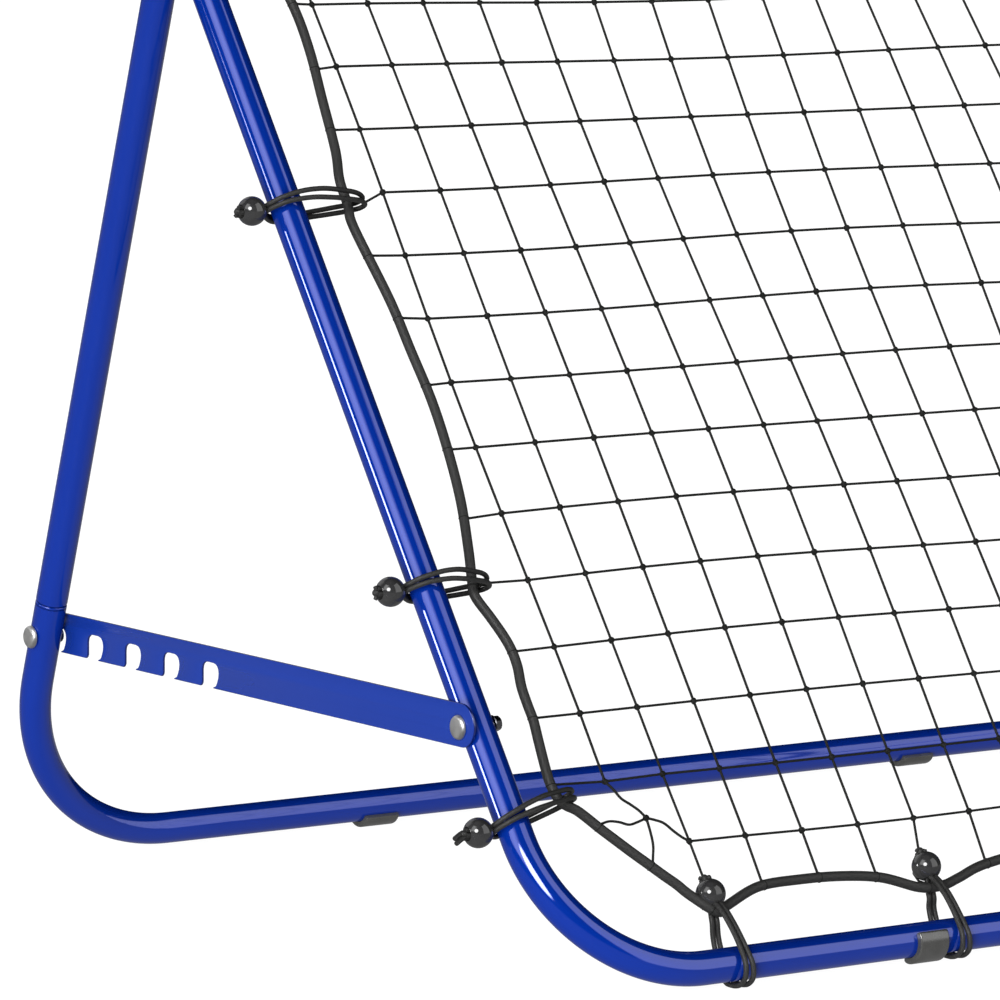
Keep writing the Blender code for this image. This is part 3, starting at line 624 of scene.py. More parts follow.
hole = arc((0, 0), HOLE_R, 0, 352.5, 47)
leg_out = REAR_OUT + TUBE_R
plate_out = PLATE_X + PLATE_T / 2
for side, sign in (("left", -1), ("right", 1)):
    tube_x, rear_x = sign * half, sign * rear_half
    bolt(f"look_pivot_bolt_{side}", FRONT, (tube_x, PIVOT_V, 0), sign, leg_out + 0.35, leg_out + 3.6, -20.6, "front_frame")
    flange_nut(f"look_pivot_nut_{side}", FRONT, (tube_x - sign * (TUBE_R + 0.35), PIVOT_V, 0), sign, "front_frame")
    verts, faces, painted_shade_rims = plate_mesh([plate_outline(), hole], PLATE_T, 0.55)
    plate = to_object(f"look_adjuster_plate_{side}", verts, faces, BLUE_PLATE,
                      PLATE[side] @ Matrix.Translation((sign * PLATE_X, 0, 0)) @ ACROSS, sharp=50)
    # The plate's edges get the darker copy of its enamel: painted shade.
    plate.data.materials.append(BLUE_PAINTED_EDGE_SHADE)
    for index in painted_shade_rims:
        plate.data.polygons[index].material_index = 1
    stand_for(plate, f"adjuster_{side}", "blue_plate", f"adjuster_plate_{side}")
    bolt(f"look_plate_bolt_{side}", FRONT, (tube_x, PLATE_BOLT_V, 0), sign, plate_out + 0.35, plate_out + 3.4, -20.6, "front_frame")
    flange_nut(f"look_plate_nut_{side}", FRONT, (tube_x - sign * (TUBE_R + 0.35), PLATE_BOLT_V, 0), sign, "front_frame")
    lock_height = LOCK_V + down
    lock_tip = -(REAR_OUT - PLATE_X - PLATE_T / 2 - 0.4)
    bolt(f"look_lock_bolt_{side}", REAR, (rear_x, lock_height, 0), sign, TUBE_R + 0.35, TUBE_R + 3.6, lock_tip, "rear_frame")
    near = -(STAMP_OUT + 0.35)
    tall = near - lock_tip - 0.05
    lock_nut(f"look_lock_nut_{side}", (rear_x + sign * near, lock_height, 0), sign, tall)


# ---- foot pads --------------------------------------------------------------
def pad_section(down_angle, mid_angle, spread, outer_r, inner_r=TUBE_R + 0.35, count=56):
    """A snap-on half-round clip: rounded tips, a stiff back and a flat where it stands."""
    dx, dy = math.cos(math.radians(down_angle)), math.sin(math.radians(down_angle))
    outer = []
    for x, y in arc((0, 0), outer_r, mid_angle - spread, mid_angle + spread, count):
        reach = x * dx + y * dy
        if reach > FLOOR_DROP:
            x -= (reach - FLOOR_DROP) * dx
            y -= (reach - FLOOR_DROP) * dy
        outer.append((x, y))
    return outer, arc((0, 0), inner_r, mid_angle + spread, mid_angle - spread, count)


def pad_rings(down_angle, mid_angle, spread, length, rim):
    """Cross sections along the bar, drawn in at both ends for a moulded rim."""
    rings = []
    stations = []
    for k in range(6):
        angle = math.radians(90 * k / 5)
        stations.append((-length / 2 + rim * (1 - math.sin(angle)), rim * (1 - math.cos(angle))))
    stations = [(z, inset) for z, inset in sorted((s for s in stations), key=lambda s: s[0])]
    ends = [(-length / 2 + rim * (1 - math.cos(math.radians(15 * k))), rim * (1 - math.sin(math.radians(15 * k)))) for k in range(7)]
    stations = ends + [(-length * 0.2, 0.0), (0.0, 0.0), (length * 0.2, 0.0)] + [(-z, inset) for z, inset in reversed(ends)]
    for z, inset in stations:
        outer, inner = pad_section(down_angle, mid_angle, spread, FOOT_R)
        section = np.array(outer + inner)
        scale = []
        count = len(outer)
        tip = 9
        for index, (x, y) in enumerate(outer):
            length_here = math.hypot(x, y)
            from_end = min(index, count - 1 - index)
            ease = 0.0
            if from_end < tip:
                t = 1 - from_end / tip
                ease = 1.1 * (1 - math.sqrt(max(0.0, 1 - t ** 2.4)))
            target = length_here - inset - ease
            scale.append((x * target / length_here, y * target / length_here))
        section[:count] = np.array(scale)
        rings.append(np.column_stack([section, np.full(len(section), z)]))
    return rings


front_down, rear_down = 180 + math.degrees(FRONT_LEAN), 180 - math.degrees(REAR_LEAN)
for side, sign in (("left", -1), ("right", 1)):
    verts, faces = loft(pad_rings(front_down, 160, 66.5, 26.5, 1.5))
    pad = to_object(f"look_front_foot_{side}", verts, faces, RUBBER,
                    FRONT @ Matrix.Translation((sign * (half - 313.2), 0, 0)) @ ACROSS, sharp=45)
    stand_for(pad, "front_frame", "foot_rubber", f"front_foot_{side}")
    verts, faces = loft(pad_rings(rear_down, 180, 79.5, 32.0, 1.5))
    pad = to_object(f"look_rear_foot_{side}", verts, faces, RUBBER,
                    REAR @ Matrix.Translation((sign * (half - 319.0), down, 0)) @ ACROSS, sharp=45)
    stand_for(pad, "rear_frame", "foot_rubber", f"rear_foot_{side}")


# ---- cords, rope and net ----------------------------------------------------
def smooth_route(knots, count, closed=False):
    knots = [Vector(tuple(k) + (0.0,) * (3 - len(k))) for k in knots]
    total = len(knots)
    spans = total if closed else total - 1
    fine = []
    for index in range(spans):
        if closed:
            p0, p1, p2, p3 = (knots[(index + k) % total] for k in (-1, 0, 1, 2))
        else:
            p0 = knots[max(index - 1, 0)]
            p1, p2 = knots[index], knots[index + 1]
            p3 = knots[min(index + 2, total - 1)]
        for step in range(20):
            t = step / 20
            fine.append(0.5 * ((2 * p1) + (p2 - p0) * t + (2 * p0 - 5 * p1 + 4 * p2 - p3) * t * t
                               + (3 * p1 - p0 - 3 * p2 + p3) * t ** 3))
    fine.append(knots[0] if closed else knots[-1])
    lengths = [0.0]
    for first, second in zip(fine, fine[1:]):
        lengths.append(lengths[-1] + (second - first).length)
    steps = count if closed else count - 1
    made, index = [], 0
    for step in range(count):
        goal = lengths[-1] * step / steps
        while index < len(lengths) - 2 and lengths[index + 1] < goal:
            index += 1
        span = lengths[index + 1] - lengths[index]
        t = 0.0 if span == 0 else (goal - lengths[index]) / span
        made.append(tuple(fine[index].lerp(fine[index + 1], t)))
    return made


class Strands:
    """Collects round strands into one mesh, with coordinates along and around each."""

    def __init__(self):
        self.verts, self.faces, self.uvs, self.count = [], [], [], 0

    def add(self, points, radius, sides=12, closed=False, start=0.0, caps=True, up=(0.0, 0.0, 1.0)):
        points = np.asarray(points, float)
        n = len(points)
        radii = np.asarray(radius, float) if np.ndim(radius) else np.full(n, float(radius))
        if closed:
            tangents = np.roll(points, -1, 0) - np.roll(points, 1, 0)
        else:
            tangents = np.gradient(points, axis=0)
        tangents /= np.linalg.norm(tangents, axis=1)[:, None]
        guide = np.array(up, float)
        if abs(tangents[0] @ guide) > 0.9:
            guide = np.array((0.0, 1.0, 0.0)) if abs(tangents[0][1]) < 0.9 else np.array((1.0, 0.0, 0.0))
        normal = guide - tangents[0] * (guide @ tangents[0])
        normal /= np.linalg.norm(normal)
        normals = [normal]
        for i in range(1, n):
            normal = normals[-1] - tangents[i] * (normals[-1] @ tangents[i])
            normals.append(normal / np.linalg.norm(normal))
        normals = np.array(normals)
        if closed:
            last = normals[-1] - tangents[0] * (normals[-1] @ tangents[0])
            last /= np.linalg.norm(last)
            side = np.cross(tangents[0], normals[0])
            off = math.atan2(last @ side, last @ normals[0])
            sides_way = np.cross(tangents, normals)
            turn = -off * np.arange(n) / n
            normals = normals * np.cos(turn)[:, None] + sides_way * np.sin(turn)[:, None]
        binormals = np.cross(tangents, normals)
        angles = math.tau * np.arange(sides) / sides
        ring = (normals[:, None, :] * np.cos(angles)[None, :, None] + binormals[:, None, :] * np.sin(angles)[None, :, None])
        verts = points[:, None, :] + ring * radii[:, None, None]
        spans = np.linalg.norm(np.diff(points, axis=0, append=points[:1]), axis=1)
        along = start + np.concatenate([[0.0], np.cumsum(spans)]) * MM
        base = self.count
        self.verts.append(verts.reshape(-1, 3))
        for i in range(n if closed else n - 1):
            a, b = base + i * sides, base + ((i + 1) % n) * sides
            u0, u1 = along[i], along[i + 1]
            for j in range(sides):
                k = (j + 1) % sides
                self.faces.append((a + j, a + k, b + k, b + j))
                v0, v1 = j / sides, (j + 1) / sides
                self.uvs += [(u0, v0), (u0, v1), (u1, v1), (u1, v0)]
        if not closed and caps:
            self.faces.append(tuple(base + j for j in reversed(range(sides))))
            self.uvs += [(along[0], 0.5)] * sides
            self.faces.append(tuple(base + (n - 1) * sides + j for j in range(sides)))
            self.uvs += [(along[n - 1], 0.5)] * sides
        self.count += n * sides
        return self

    def blob(self, centre, size, rotation, rings=7, sides=10):
        """A small rounded lump, such as the core of a knot."""
        rows = []
        turn = np.array(rotation)[:3, :3]
        base = self.count
        made = [np.array(centre) + turn @ np.array((0, 0, -size[2]))]
        for i in range(1, rings):
            polar = math.pi * i / rings
            for j in range(sides):
                a = math.tau * j / sides
                point = np.array((size[0] * math.sin(polar) * math.cos(a), size[1] * math.sin(polar) * math.sin(a), -size[2] * math.cos(polar)))
                made.append(np.array(centre) + turn @ point)
        made.append(np.array(centre) + turn @ np.array((0, 0, size[2])))
        self.verts.append(np.array(made))
        top = base + len(made) - 1

        def at(i, j):
            return base + 1 + (i - 1) * sides + j % sides

        def uv(i, j):
            return (0.004 * i / rings, j / sides)

        for j in range(sides):
            self.faces.append((base, at(1, j + 1), at(1, j)))
            self.uvs += [uv(0, j), uv(1, j + 1), uv(1, j)]
            for i in range(1, rings - 1):
                self.faces.append((at(i, j), at(i, j + 1), at(i + 1, j + 1), at(i + 1, j)))
                self.uvs += [uv(i, j), uv(i, j + 1), uv(i + 1, j + 1), uv(i + 1, j)]
            self.faces.append((top, at(rings - 1, j), at(rings - 1, j + 1)))
            self.uvs += [uv(rings, j), uv(rings - 1, j), uv(rings - 1, j + 1)]
        self.count += len(made)
        return self

    def build(self, name, finish, matrix, sharp=60):
        mesh = bpy.data.meshes.new(name)
        world = np.array(matrix)
        points = (np.concatenate(self.verts) @ world[:3, :3].T + world[:3, 3]) * MM
        mesh.from_pydata(points.tolist(), [], self.faces)
        layer = mesh.uv_layers.new(name="route")
        layer.data.foreach_set("uv", np.asarray(self.uvs, np.float32).ravel())
        mesh.materials.append(finish)
        mesh.shade_smooth()
        mesh.set_sharp_from_angle(angle=math.radians(sharp))
        obj = bpy.data.objects.new(name, mesh)
        scene.collection.objects.link(obj)
        return obj


def rope_knots():
    """The edge rope's centre line, drawn in at each tie. It is the same at both ends of each side."""
    width, length, lift = FRONT_W, FRONT_L, ROPE_LIFT
    side = [(54, 640), (52, 622), (60, 558), (62, 515), (64, 472), (62, 430), (57, 388), (48, 347), (41, 321),
            (39, 309.5), (45.5, 291.5), (50.5, 276.5), (53, 264.5), (53, 250.5), (50, 234),
            (49.5, 219), (49.5, 206), (47.5, 190.5), (45, 170),
            (44, 157), (45.3, 146), (49, 138.5), (57.5, 133), (64.5, 125.5), (71.5, 117), (81, 106.5)]
    upper = [(70.5, 1160), (64.5, 1152), (57.5, 1145.5), (49, 1141.5), (45.3, 1134), (44, 1123), (51, 1080), (56, 1030), (50, 990), (48, 961), (56, 910), (63, 866), (71, 818), (71, 778), (66, 733),
             (61, 689), (55, 663)]
    bottom = [(91.5, 95), (102.5, 83.5), (112, 73.5), (119.5, 66), (127, 57), (143.6, 40.6, lift), (156.5, 45.8), (189, 57), (227, 58.5), (265, 57), (299, 52), (328, 41),
              (341.4, 38.5, lift), (355, 40.5), (369, 44.5), (400, 53), (470, 60), (540, 53), (586, 41), (600, 38.5, lift)]
    half_low = upper + side + bottom
    right_low = [(width - k[0],) + tuple(k[1:]) for k in reversed(half_low[:-1])]
    top_right = [(width - 80.5, length - 107.5), (width - 91.5, length - 95), (width - 150, length - 62),
                 (width - 260, length - 56), (width - 358, length - 51), (width - 386, length - 41), (800, length - 38.5, lift),
                 (786, length - 41), (740, length - 53), (600, length - 60)]
    top_left = [(width - k[0],) + tuple(k[1:]) for k in reversed(top_right[:-1])]
    return half_low + right_low + top_right + top_left


rope_line = np.array([(p[0] - half, p[1], p[2]) for p in smooth_route(rope_knots(), 1300, closed=True)])
rope = Strands().add(rope_line, ROPE_R, sides=24, closed=True).build("look_edge_rope", ROPE, FRONT)
stand_for(rope, "front_frame", "edge_rope", "edge_rope")


def side_tie_knots(sign, end, shift):
    """One strand of a side tie, from the ball over the tube and the rope, round and back."""
    stretch = end / 68.4
    front = [(-24, 1.98, 1.98), (-20.3, 1.98, 2.3), (-17.6, 2.0, 6.4), (-12.2, 2.3, 12.4), (-6, 2.5, 16.4), (0, 2.9, 18.6)]
    front += [(x * stretch, w, z) for x, w, z in ((6, 3.2, 19.8), (12, 3.4, 20.3), (18, 3.6, 20.1), (24, 3.8, 19.4), (30, 3.8, 18.3), (36, 3.7, 16.9),
                                                  (42, 3.7, 15.1), (48, 3.6, 13.3), (54, 3.5, 11.4), (60, 3.2, 8.8), (65.2, 3.0, 5.0), (68.4, 2.8, 0.6))]
    back = [(x * stretch, w, z) for x, w, z in ((66.4, 2.5, -3.9), (60, 2.4, -6.4), (54, 2.5, -7.6), (48, 2.5, -8.6), (42, 2.4, -9.6), (36, 2.3, -10.6),
                                                (30, 2.2, -11.5), (24, 2.1, -12.5), (16, 2.1, -14.0))]
    back += [(6, 2.1, -15.4), (-2, 2.1, -15.3), (-8.5, 2.1, -13.1), (-14, 2.0, -9.0), (-18.2, 2.0, -4.6), (-20.8, 1.98, -2.3), (-24, 1.98, -1.98)]
    made = [(-43, 1.98, 1.98), (-37, 1.98, 1.98), (-31, 1.98, 1.98)] + front + back + [(-31, 1.98, -1.98), (-37, 1.98, -1.98), (-43, 1.98, -1.98)]
    return [(x, sign * w + shift * max(0.0, (x + 21.0) / (end + 21.0)), z) for x, w, z in made]


def bar_tie_knots(sign, rope_at, ball_at):
    """One strand of a bar tie, from the ball in front of the rope, round the bar and back behind."""
    lift = ROPE_LIFT
    made = [(ball_at + 12, 1.98, lift + 1.98), (ball_at + 6, 1.98, lift + 1.98), (ball_at, 1.98, lift + 1.98), (ball_at - 6, 1.98, lift + 1.98),
            (ball_at - 9.0, 2.0, lift + 2.3), (rope_at + 3.9, 2.0, lift + 4.6), (rope_at - 0.5, 2.0, lift + 6.9), (rope_at - 6, 2.0, lift + 8.7),
            (28, 2.0, 12.2), (21, 2.05, 13.6), (13, 2.15, 14.7), (4.5, 2.4, 15.4), (-4.0, 2.8, 15.6)]
    for angle, radius, spread in ((125, 17.2, 3.2), (150, 18.4, 3.6), (174, 17.2, 3.8), (194, 15.8, 3.8),
                                  (214.8, 15.1, 3.8), (236, 15.5, 3.6), (262, 15.7, 3.3), (285, 15.6, 3.0)):
        turn_angle = math.radians(angle)
        made.append((radius * math.cos(turn_angle), spread, radius * math.sin(turn_angle)))
    made += [(13, 2.7, -13.6), (21, 2.5, -12.0), (28, 2.4, -9.6), (rope_at - 5.5, 2.3, lift - 7.8), (rope_at - 0.5, 2.2, lift - 6.1),
             (rope_at + 3.9, 2.1, lift - 4.3), (ball_at - 9.0, 2.0, lift - 2.3),
             (ball_at - 6, 1.98, lift - 1.98), (ball_at, 1.98, lift - 1.98), (ball_at + 6, 1.98, lift - 1.98), (ball_at + 12, 1.98, lift - 1.98)]
    return [(x, sign * w, z) for x, w, z in made]


def overhand(centre, size, way, twist):
    """A pulled-tight overhand knot about the way its cord runs, as points."""
    way = Vector(way).normalized()
    turn = way.to_track_quat("Z", "Y").to_matrix() @ Matrix.Rotation(twist, 3, "Z")
    made = []
    for k in range(64):
        t = math.tau * k / 64
        x = math.sin(t) + 2 * math.sin(2 * t)
        y = math.cos(t) - 2 * math.cos(2 * t)
        z = -math.sin(3 * t) * 1.15
        made.append(tuple(Vector(centre) + turn @ Vector((x * size / 3, y * size / 3, z * size / 3))))
    return made


def tie_cord(kind, number, hold):
    """The doubled cord, the stopper knot behind its ball and the two cut ends."""
    made = Strands()
    for sign in (-1, 1):
        knots = side_tie_knots(sign, hold[1], hold[2]) if kind == "side" else bar_tie_knots(sign, *hold)
        made.add(smooth_route(knots, 190), CORD_R, sides=14)
    centre, way = ((-TIE_BALL_OUT, 0.0, 0.0), (-1, 0, 0)) if kind == "side" else ((hold[1], 0.0, ROPE_LIFT), (1, 0, 0))
    w, c = Vector(way), Vector(centre)
    twist = 0.9 * number
    knot_at = c + w * (BALL_R + 1.2)
    made.add(overhand(knot_at, 1.75, way, twist), 1.45, sides=12, closed=True)
    long_end = kind == "side" and number <= 2
    for index in range(2):
        angle = twist * 0.35 + (2.75 if index else -0.35)
        out = Vector((0, math.cos(angle), math.sin(angle)))
        reach = (1.9, 3.6, 4.7)
        rise = (0.2, 0.6, 1.2)
        points = [tuple(knot_at + out * r + w * t) for r, t in zip(reach, rise)]
        radii = [1.5] * 7 + [1.55, 1.55, 1.42]
        if long_end:
            # both ends are left long here and lie side by side
            fall, beside = (-1 if number == 1 else 1), (1.9 if index else -1.9)
            points = [tuple(knot_at + w * t + Vector((0, fall * d + beside, 0))) for t, d in ((0.4, 0.4), (3.4, 1.6), (6.4, 3.1), (9.2, 4.6))]
            radii = [1.85] * 8 + [1.9, 1.75]
        made.add(smooth_route(points, 10), radii, sides=12)
    top = knot_at + w * 0.9
    made.blob(tuple(top), (2.3, 2.6, 2.3), Matrix.Rotation(twist, 3, "X"), 10, 16)
    return made


def ball_mesh():
    """A moulded ball bored along z, with softened hole edges."""
    hole_angle = math.asin((BALL_HOLE_R + 0.55) / BALL_R)
    steps = 36
    profile = []
    for index in range(steps + 1):
        angle = hole_angle + (math.pi - 2 * hole_angle) * index / steps
        profile.append((BALL_R * math.sin(angle), BALL_R * math.cos(angle)))
    edge = BALL_R * math.cos(hole_angle)
    lower = [(BALL_HOLE_R + 0.28, -edge - 0.02), (BALL_HOLE_R + 0.08, -edge + 0.22), (BALL_HOLE_R, -edge + 0.6)]
    upper = [(r, -z) for r, z in reversed(lower)]
    profile = profile + lower + upper
    rings = [np.array([(r * math.cos(math.tau * k / 56), r * math.sin(math.tau * k / 56), z) for k in range(56)]) for r, z in profile]
    return loft(rings, closed=True)


def tie(number, kind, location, angle, hold):
    matrix = FRONT @ Matrix.Translation(Vector(location)) @ Matrix.Rotation(angle, 4, "Z")
    cord = tie_cord(kind, number, hold).build(f"look_tie_cord_{number:02d}", CORD, matrix)
    stand_for(cord, "front_frame", "tie_cord", f"tie_cord_{number:02d}")
    reach, lift = (-TIE_BALL_OUT, 0.0) if kind == "side" else (hold[1], ROPE_LIFT)
    verts, faces = ball_mesh()
    ball = to_object(f"look_tie_ball_{number:02d}", verts, faces, BALL,
                     matrix @ Matrix.Translation((reach, 0, lift)) @ Matrix.Rotation(math.pi / 2, 4, "Y"), sharp=60)
    stand_for(ball, "front_frame", "tie_ball", f"tie_ball_{number:02d}")


number = 1
for height in SIDE_TIES:
    rope_x, end_x, shift = SIDE_HOLD[height]
    tie(number, "side", (-half, height, 0), 0.0, (rope_x, end_x, shift))
    tie(number + 1, "side", (half, height, 0), math.pi, (rope_x, end_x, -shift))
    number += 2
for across in BOTTOM_TIES:
    tie(number, "bar", (across - half, 0, 0), math.pi / 2, BAR_HOLD[across])
    number += 1
for across in TOP_TIES:
    tie(number, "bar", (across - half, FRONT_L, 0), -math.pi / 2, BAR_HOLD[across])
    number += 1


# ---- the knotted net --------------------------------------------------------
FIRST_U, PITCH_U, FIRST_V, PITCH_V = 140.47, 52.52, 99.1, 55.2
COLUMNS, ROWS = range(-1, 19), range(0, 21)
DRIFT_U = ((4.34, 13.78, 16.04, 6.41), (1.55, -27.58, 10.46, 5.78), (4.82, 11.0, 12.38, 2.65))
DRIFT_V = ((1.54, 111.84, 13.13, 3.78), (1.56, -13.58, 13.25, 0.78), (1.03, 11.02, 7.66, -2.98))


def drift(waves, i, k):
    return sum(a * math.sin(math.tau * (i / li + k / lk) + phase) for a, li, lk, phase in waves)


def mesh_knot(i, k):
    """Where a knot of the net hangs, across and up the front frame."""
    if (i, k) == (-1, 0):
        return np.array((114.5, 120.6))
    if (i, k) == (0, 0):
        return np.array((143.9, 98.6))
    if (i, k) == (-1, 1):
        return np.array((90.9, 152.6))
    return np.array((FIRST_U + PITCH_U * i + drift(DRIFT_U, i, k), FIRST_V + PITCH_V * k + drift(DRIFT_V, i, k)))


rope_flat = rope_line[:, :2] + np.array((half, 0.0))


def inside_rope(point, margin):
    x, y = point
    a, b = rope_flat, np.roll(rope_flat, -1, 0)
    crosses = ((a[:, 1] > y) != (b[:, 1] > y)) & (x < (b[:, 0] - a[:, 0]) * (y - a[:, 1]) / (b[:, 1] - a[:, 1] + 1e-12) + a[:, 0])
    return bool(crosses.sum() % 2) and float(np.linalg.norm(rope_flat - point, axis=1).min()) > margin


def nearest_on_rope(point):
    index = int(np.linalg.norm(rope_flat - point, axis=1).argmin())
    way = rope_flat[(index + 1) % len(rope_flat)] - rope_flat[index - 1]
    return rope_flat[index], way / np.linalg.norm(way)


def meet_rope(start, toward):
    """The first place where the line from start meets the rope's centre line."""
    start, way = np.asarray(start, float), np.asarray(toward, float) - np.asarray(start, float)
    way /= np.linalg.norm(way)
    best = None
    for step in np.arange(2.0, 140.0, 0.5):
        point = start + way * step
        if not inside_rope(point, 0.6):
            best = point
            break
    return nearest_on_rope(best if best is not None else start)


net = Strands()


def strand(points, radius=TWINE_R, sides=8):
    """A twine through points."""
    points = [np.array(tuple(p) + (0.0,) * (3 - len(p))) - np.array((half, 0, 0)) for p in points]
    net.add(points, radius, sides=sides)


hitched = set()


def hitch(place, way, inward):
    """A twine's end on the rope: one tight turn round it, which two twines that end together share."""
    index = int(np.linalg.norm(rope_flat - place, axis=1).argmin())
    centre = np.array((place[0] - half, place[1], rope_line[index, 2]))
    tangent = np.array((way[0], way[1], 0.0))
    inner = np.array((inward[0], inward[1], 0.0))
    inner -= tangent * (inner @ tangent)
    inner /= np.linalg.norm(inner)
    up = np.array((0.0, 0.0, 1.0))
    ring = []
    for k in range(22):
        a = math.tau * k / 22
        radius = ROPE_R - 0.02
        ring.append(centre + inner * radius * math.cos(a) + up * radius * math.sin(a) + tangent * 0.35 * math.sin(a))
    if index not in hitched:
        net.add(ring, TWINE_R * 0.38, sides=6, closed=True)
    hitched.add(index)
    return centre + inner * (ROPE_R - 0.4)


def side_tie_near(place):
    """The side tie whose loop holds the rope at this place: its end and the height there."""
    for height in SIDE_TIES:
        rope_x, end_x, shift = SIDE_HOLD[height]
        crossing = height + shift * (rope_x + 21.0) / (end_x + 21.0)
        if abs(place[1] - crossing) < 12.0:
            return crossing, end_x, height + shift
    return None


def end_on_rope(knot_point, toward):
    """Where a strand from its last knot meets the rope."""
    place, way = meet_rope(knot_point, toward)
    return place, way


def wavy(first, second, bends):
    """A slack twine's points between two places, as offsets across the straight line."""
    first, second = np.asarray(first, float), np.asarray(second, float)
    way = second - first
    across = np.array((-way[1], way[0])) / np.linalg.norm(way)
    made = [tuple(first) + (0.0,)]
    for t, side, lift in bends:
        made.append(tuple(first + way * t + across * side) + (lift,))
    made.append(tuple(second) + (0.0,))
    return smooth_route(made, 28)


present = {(i, k) for i in COLUMNS for k in ROWS if inside_rope(mesh_knot(i, k), 9.5)}
slack_ends = {(-1, 0)}

for k in ROWS:
    row = [i for i in COLUMNS if (i, k) in present and (i, k) not in slack_ends]
    points = []
    first, last = row[0], row[-1]
    if not (k == 0 and first == 0):
        a = mesh_knot(first, k)
        place, way = end_on_rope(a, mesh_knot(first - 1, k))
        held = side_tie_near(place)
        if held is not None:
            place, way = nearest_on_rope(np.array((place[0], held[0])))
            lead = (held[1] + 2.4, held[2] + 0.2, 0.0)
            core = hitch(place, way, (1.0, 0.0))
            points += [(core[0] + half, core[1], core[2]), lead]
        else:
            core = hitch(place, way, a - place)
            points.append((core[0] + half, core[1], core[2]))
    points += [tuple(mesh_knot(i, k)) + (0.0,) for i in row]
    b = mesh_knot(last, k)
    place, way = end_on_rope(b, mesh_knot(last + 1, k))
    held = side_tie_near(place)
    if held is not None:
        place, way = nearest_on_rope(np.array((place[0], held[0])))
        core = hitch(place, way, (-1.0, 0.0))
        points += [(FRONT_W - held[1] - 2.4, held[2] + 0.2, 0.0), (core[0] + half, core[1], core[2])]
    else:
        core = hitch(place, way, b - place)
        points.append((core[0] + half, core[1], core[2]))
    strand(points)

for i in COLUMNS:
    column = [k for k in ROWS if (i, k) in present and (i, k) not in slack_ends]
    points = []
    low_k, high_k = column[0], column[-1]
    a = mesh_knot(i, low_k)
    if i >= 0:
        place, way = end_on_rope(a, (mesh_knot(i, low_k) * 2 - mesh_knot(i, low_k + 1)))
        ties = [t for t in BOTTOM_TIES if abs(place[0] - t) < 17.0]
        if ties and abs(place[0] - ties[0]) < 12.6:
            # behind the tie's ball and down to the rope between its two cords
            rope_at, ball_at = BAR_HOLD[ties[0]]
            place, way = nearest_on_rope(np.array((ties[0] - 5.7, rope_at)))
            core = hitch(place, way, (0.0, 1.0))
            points += [(core[0] + half, core[1], core[2] - 0.6), (ties[0] - 5.5, ball_at - 8.0, -5.6), (ties[0] - 4.2, ball_at, -9.7),
                       (ties[0] - 1.6, ball_at + 9.4, -6.6), (ties[0] + 0.4, ball_at + 14.4, 0.0)]
        else:
            core = hitch(place, way, a - place)
            points.append((core[0] + half, core[1], core[2]))
    points += [tuple(mesh_knot(i, k)) + (0.0,) for k in column]
    b = mesh_knot(i, high_k)
    place, way = end_on_rope(b, mesh_knot(i, high_k) * 2 - mesh_knot(i, high_k - 1))
    ties = [t for t in TOP_TIES if abs(place[0] - t) < 12.6]
    if ties:
        rope_at, ball_at = BAR_HOLD[ties[0]]
        place, way = nearest_on_rope(np.array((ties[0] - 5.7, FRONT_L - rope_at)))
        core = hitch(place, way, (0.0, -1.0))
        points += [(ties[0] + 0.4, FRONT_L - ball_at - 14.4, 0.0), (ties[0] - 1.6, FRONT_L - ball_at - 9.4, -6.6), (ties[0] - 4.2, FRONT_L - ball_at, -9.7),
                   (ties[0] - 5.5, FRONT_L - ball_at + 8.0, -5.6), (core[0] + half, core[1], core[2] - 0.6)]
    else:
        core = hitch(place, way, b - place)
        points.append((core[0] + half, core[1], core[2]))
    strand(points)

# the lower left corner, where one knot hangs slack
loose, side_knot, base_knot = mesh_knot(-1, 0), mesh_knot(-1, 1), mesh_knot(0, 0)
net.add([np.array(p) - np.array((half, 0, 0)) for p in wavy(side_knot, loose, [(0.22, -0.8, 0.4), (0.42, -2.6, 0.8), (0.62, -0.6, 0.3), (0.82, 0.9, -0.2)])],
        TWINE_R, sides=8)
net.add([np.array(p) - np.array((half, 0, 0)) for p in wavy(loose, base_knot, [(0.18, 1.8, 0.4), (0.38, 3.0, 0.6), (0.62, 1.2, 0.2), (0.82, 0.1, 0.0)])],
        TWINE_R, sides=8)
place, way = nearest_on_rope(np.array((71, 117.8)))
core = hitch(place, way, loose - place)
net.add([np.array(p) - np.array((half, 0, 0)) for p in wavy((core[0] + half, core[1]), loose, [(0.2, 1.2, 0.3), (0.4, -0.6, 0.5), (0.58, -3.6, 0.6), (0.8, -2.2, 0.2)])],
        TWINE_R, sides=8)
place, way = nearest_on_rope(np.array((102.5, 83.5)))
core = hitch(place, way, loose - place)
net.add([np.array(p) - np.array((half, 0, 0)) for p in wavy(loose, (core[0] + half, core[1]), [(0.3, 1.6, 0.3), (0.6, 2.2, 0.5), (0.85, 0.9, 0.2)])],
        TWINE_R, sides=8)

for (i, k) in sorted(present | slack_ends):
    u, v = mesh_knot(i, k)
    centre = np.array((u - half, v, 0.0))
    spin = 0.6 * math.sin(2.1 * i + 3.7 * k) + 0.35
    turn = Matrix.Rotation(spin, 3, "Z") @ Matrix.Rotation(0.25 * math.sin(1.3 * i - 2.2 * k), 3, "X")
    turning = np.array(turn)
    net.blob(centre, (2.25, 2.15, 1.75), turn, 6, 10)
    for lean, offset in ((0.75, 0.45), (-0.75, -0.45)):
        ring = []
        for step in range(12):
            a = math.tau * step / 12
            local = np.array((1.75 * math.cos(a), 2.05 * math.sin(a) * math.cos(lean), 1.6 * math.sin(a) * math.sin(lean) + offset * math.cos(2 * a) * 0.5))
            ring.append(centre + turning @ local)
        net.add(ring, TWINE_R * 0.88, sides=5, closed=True)

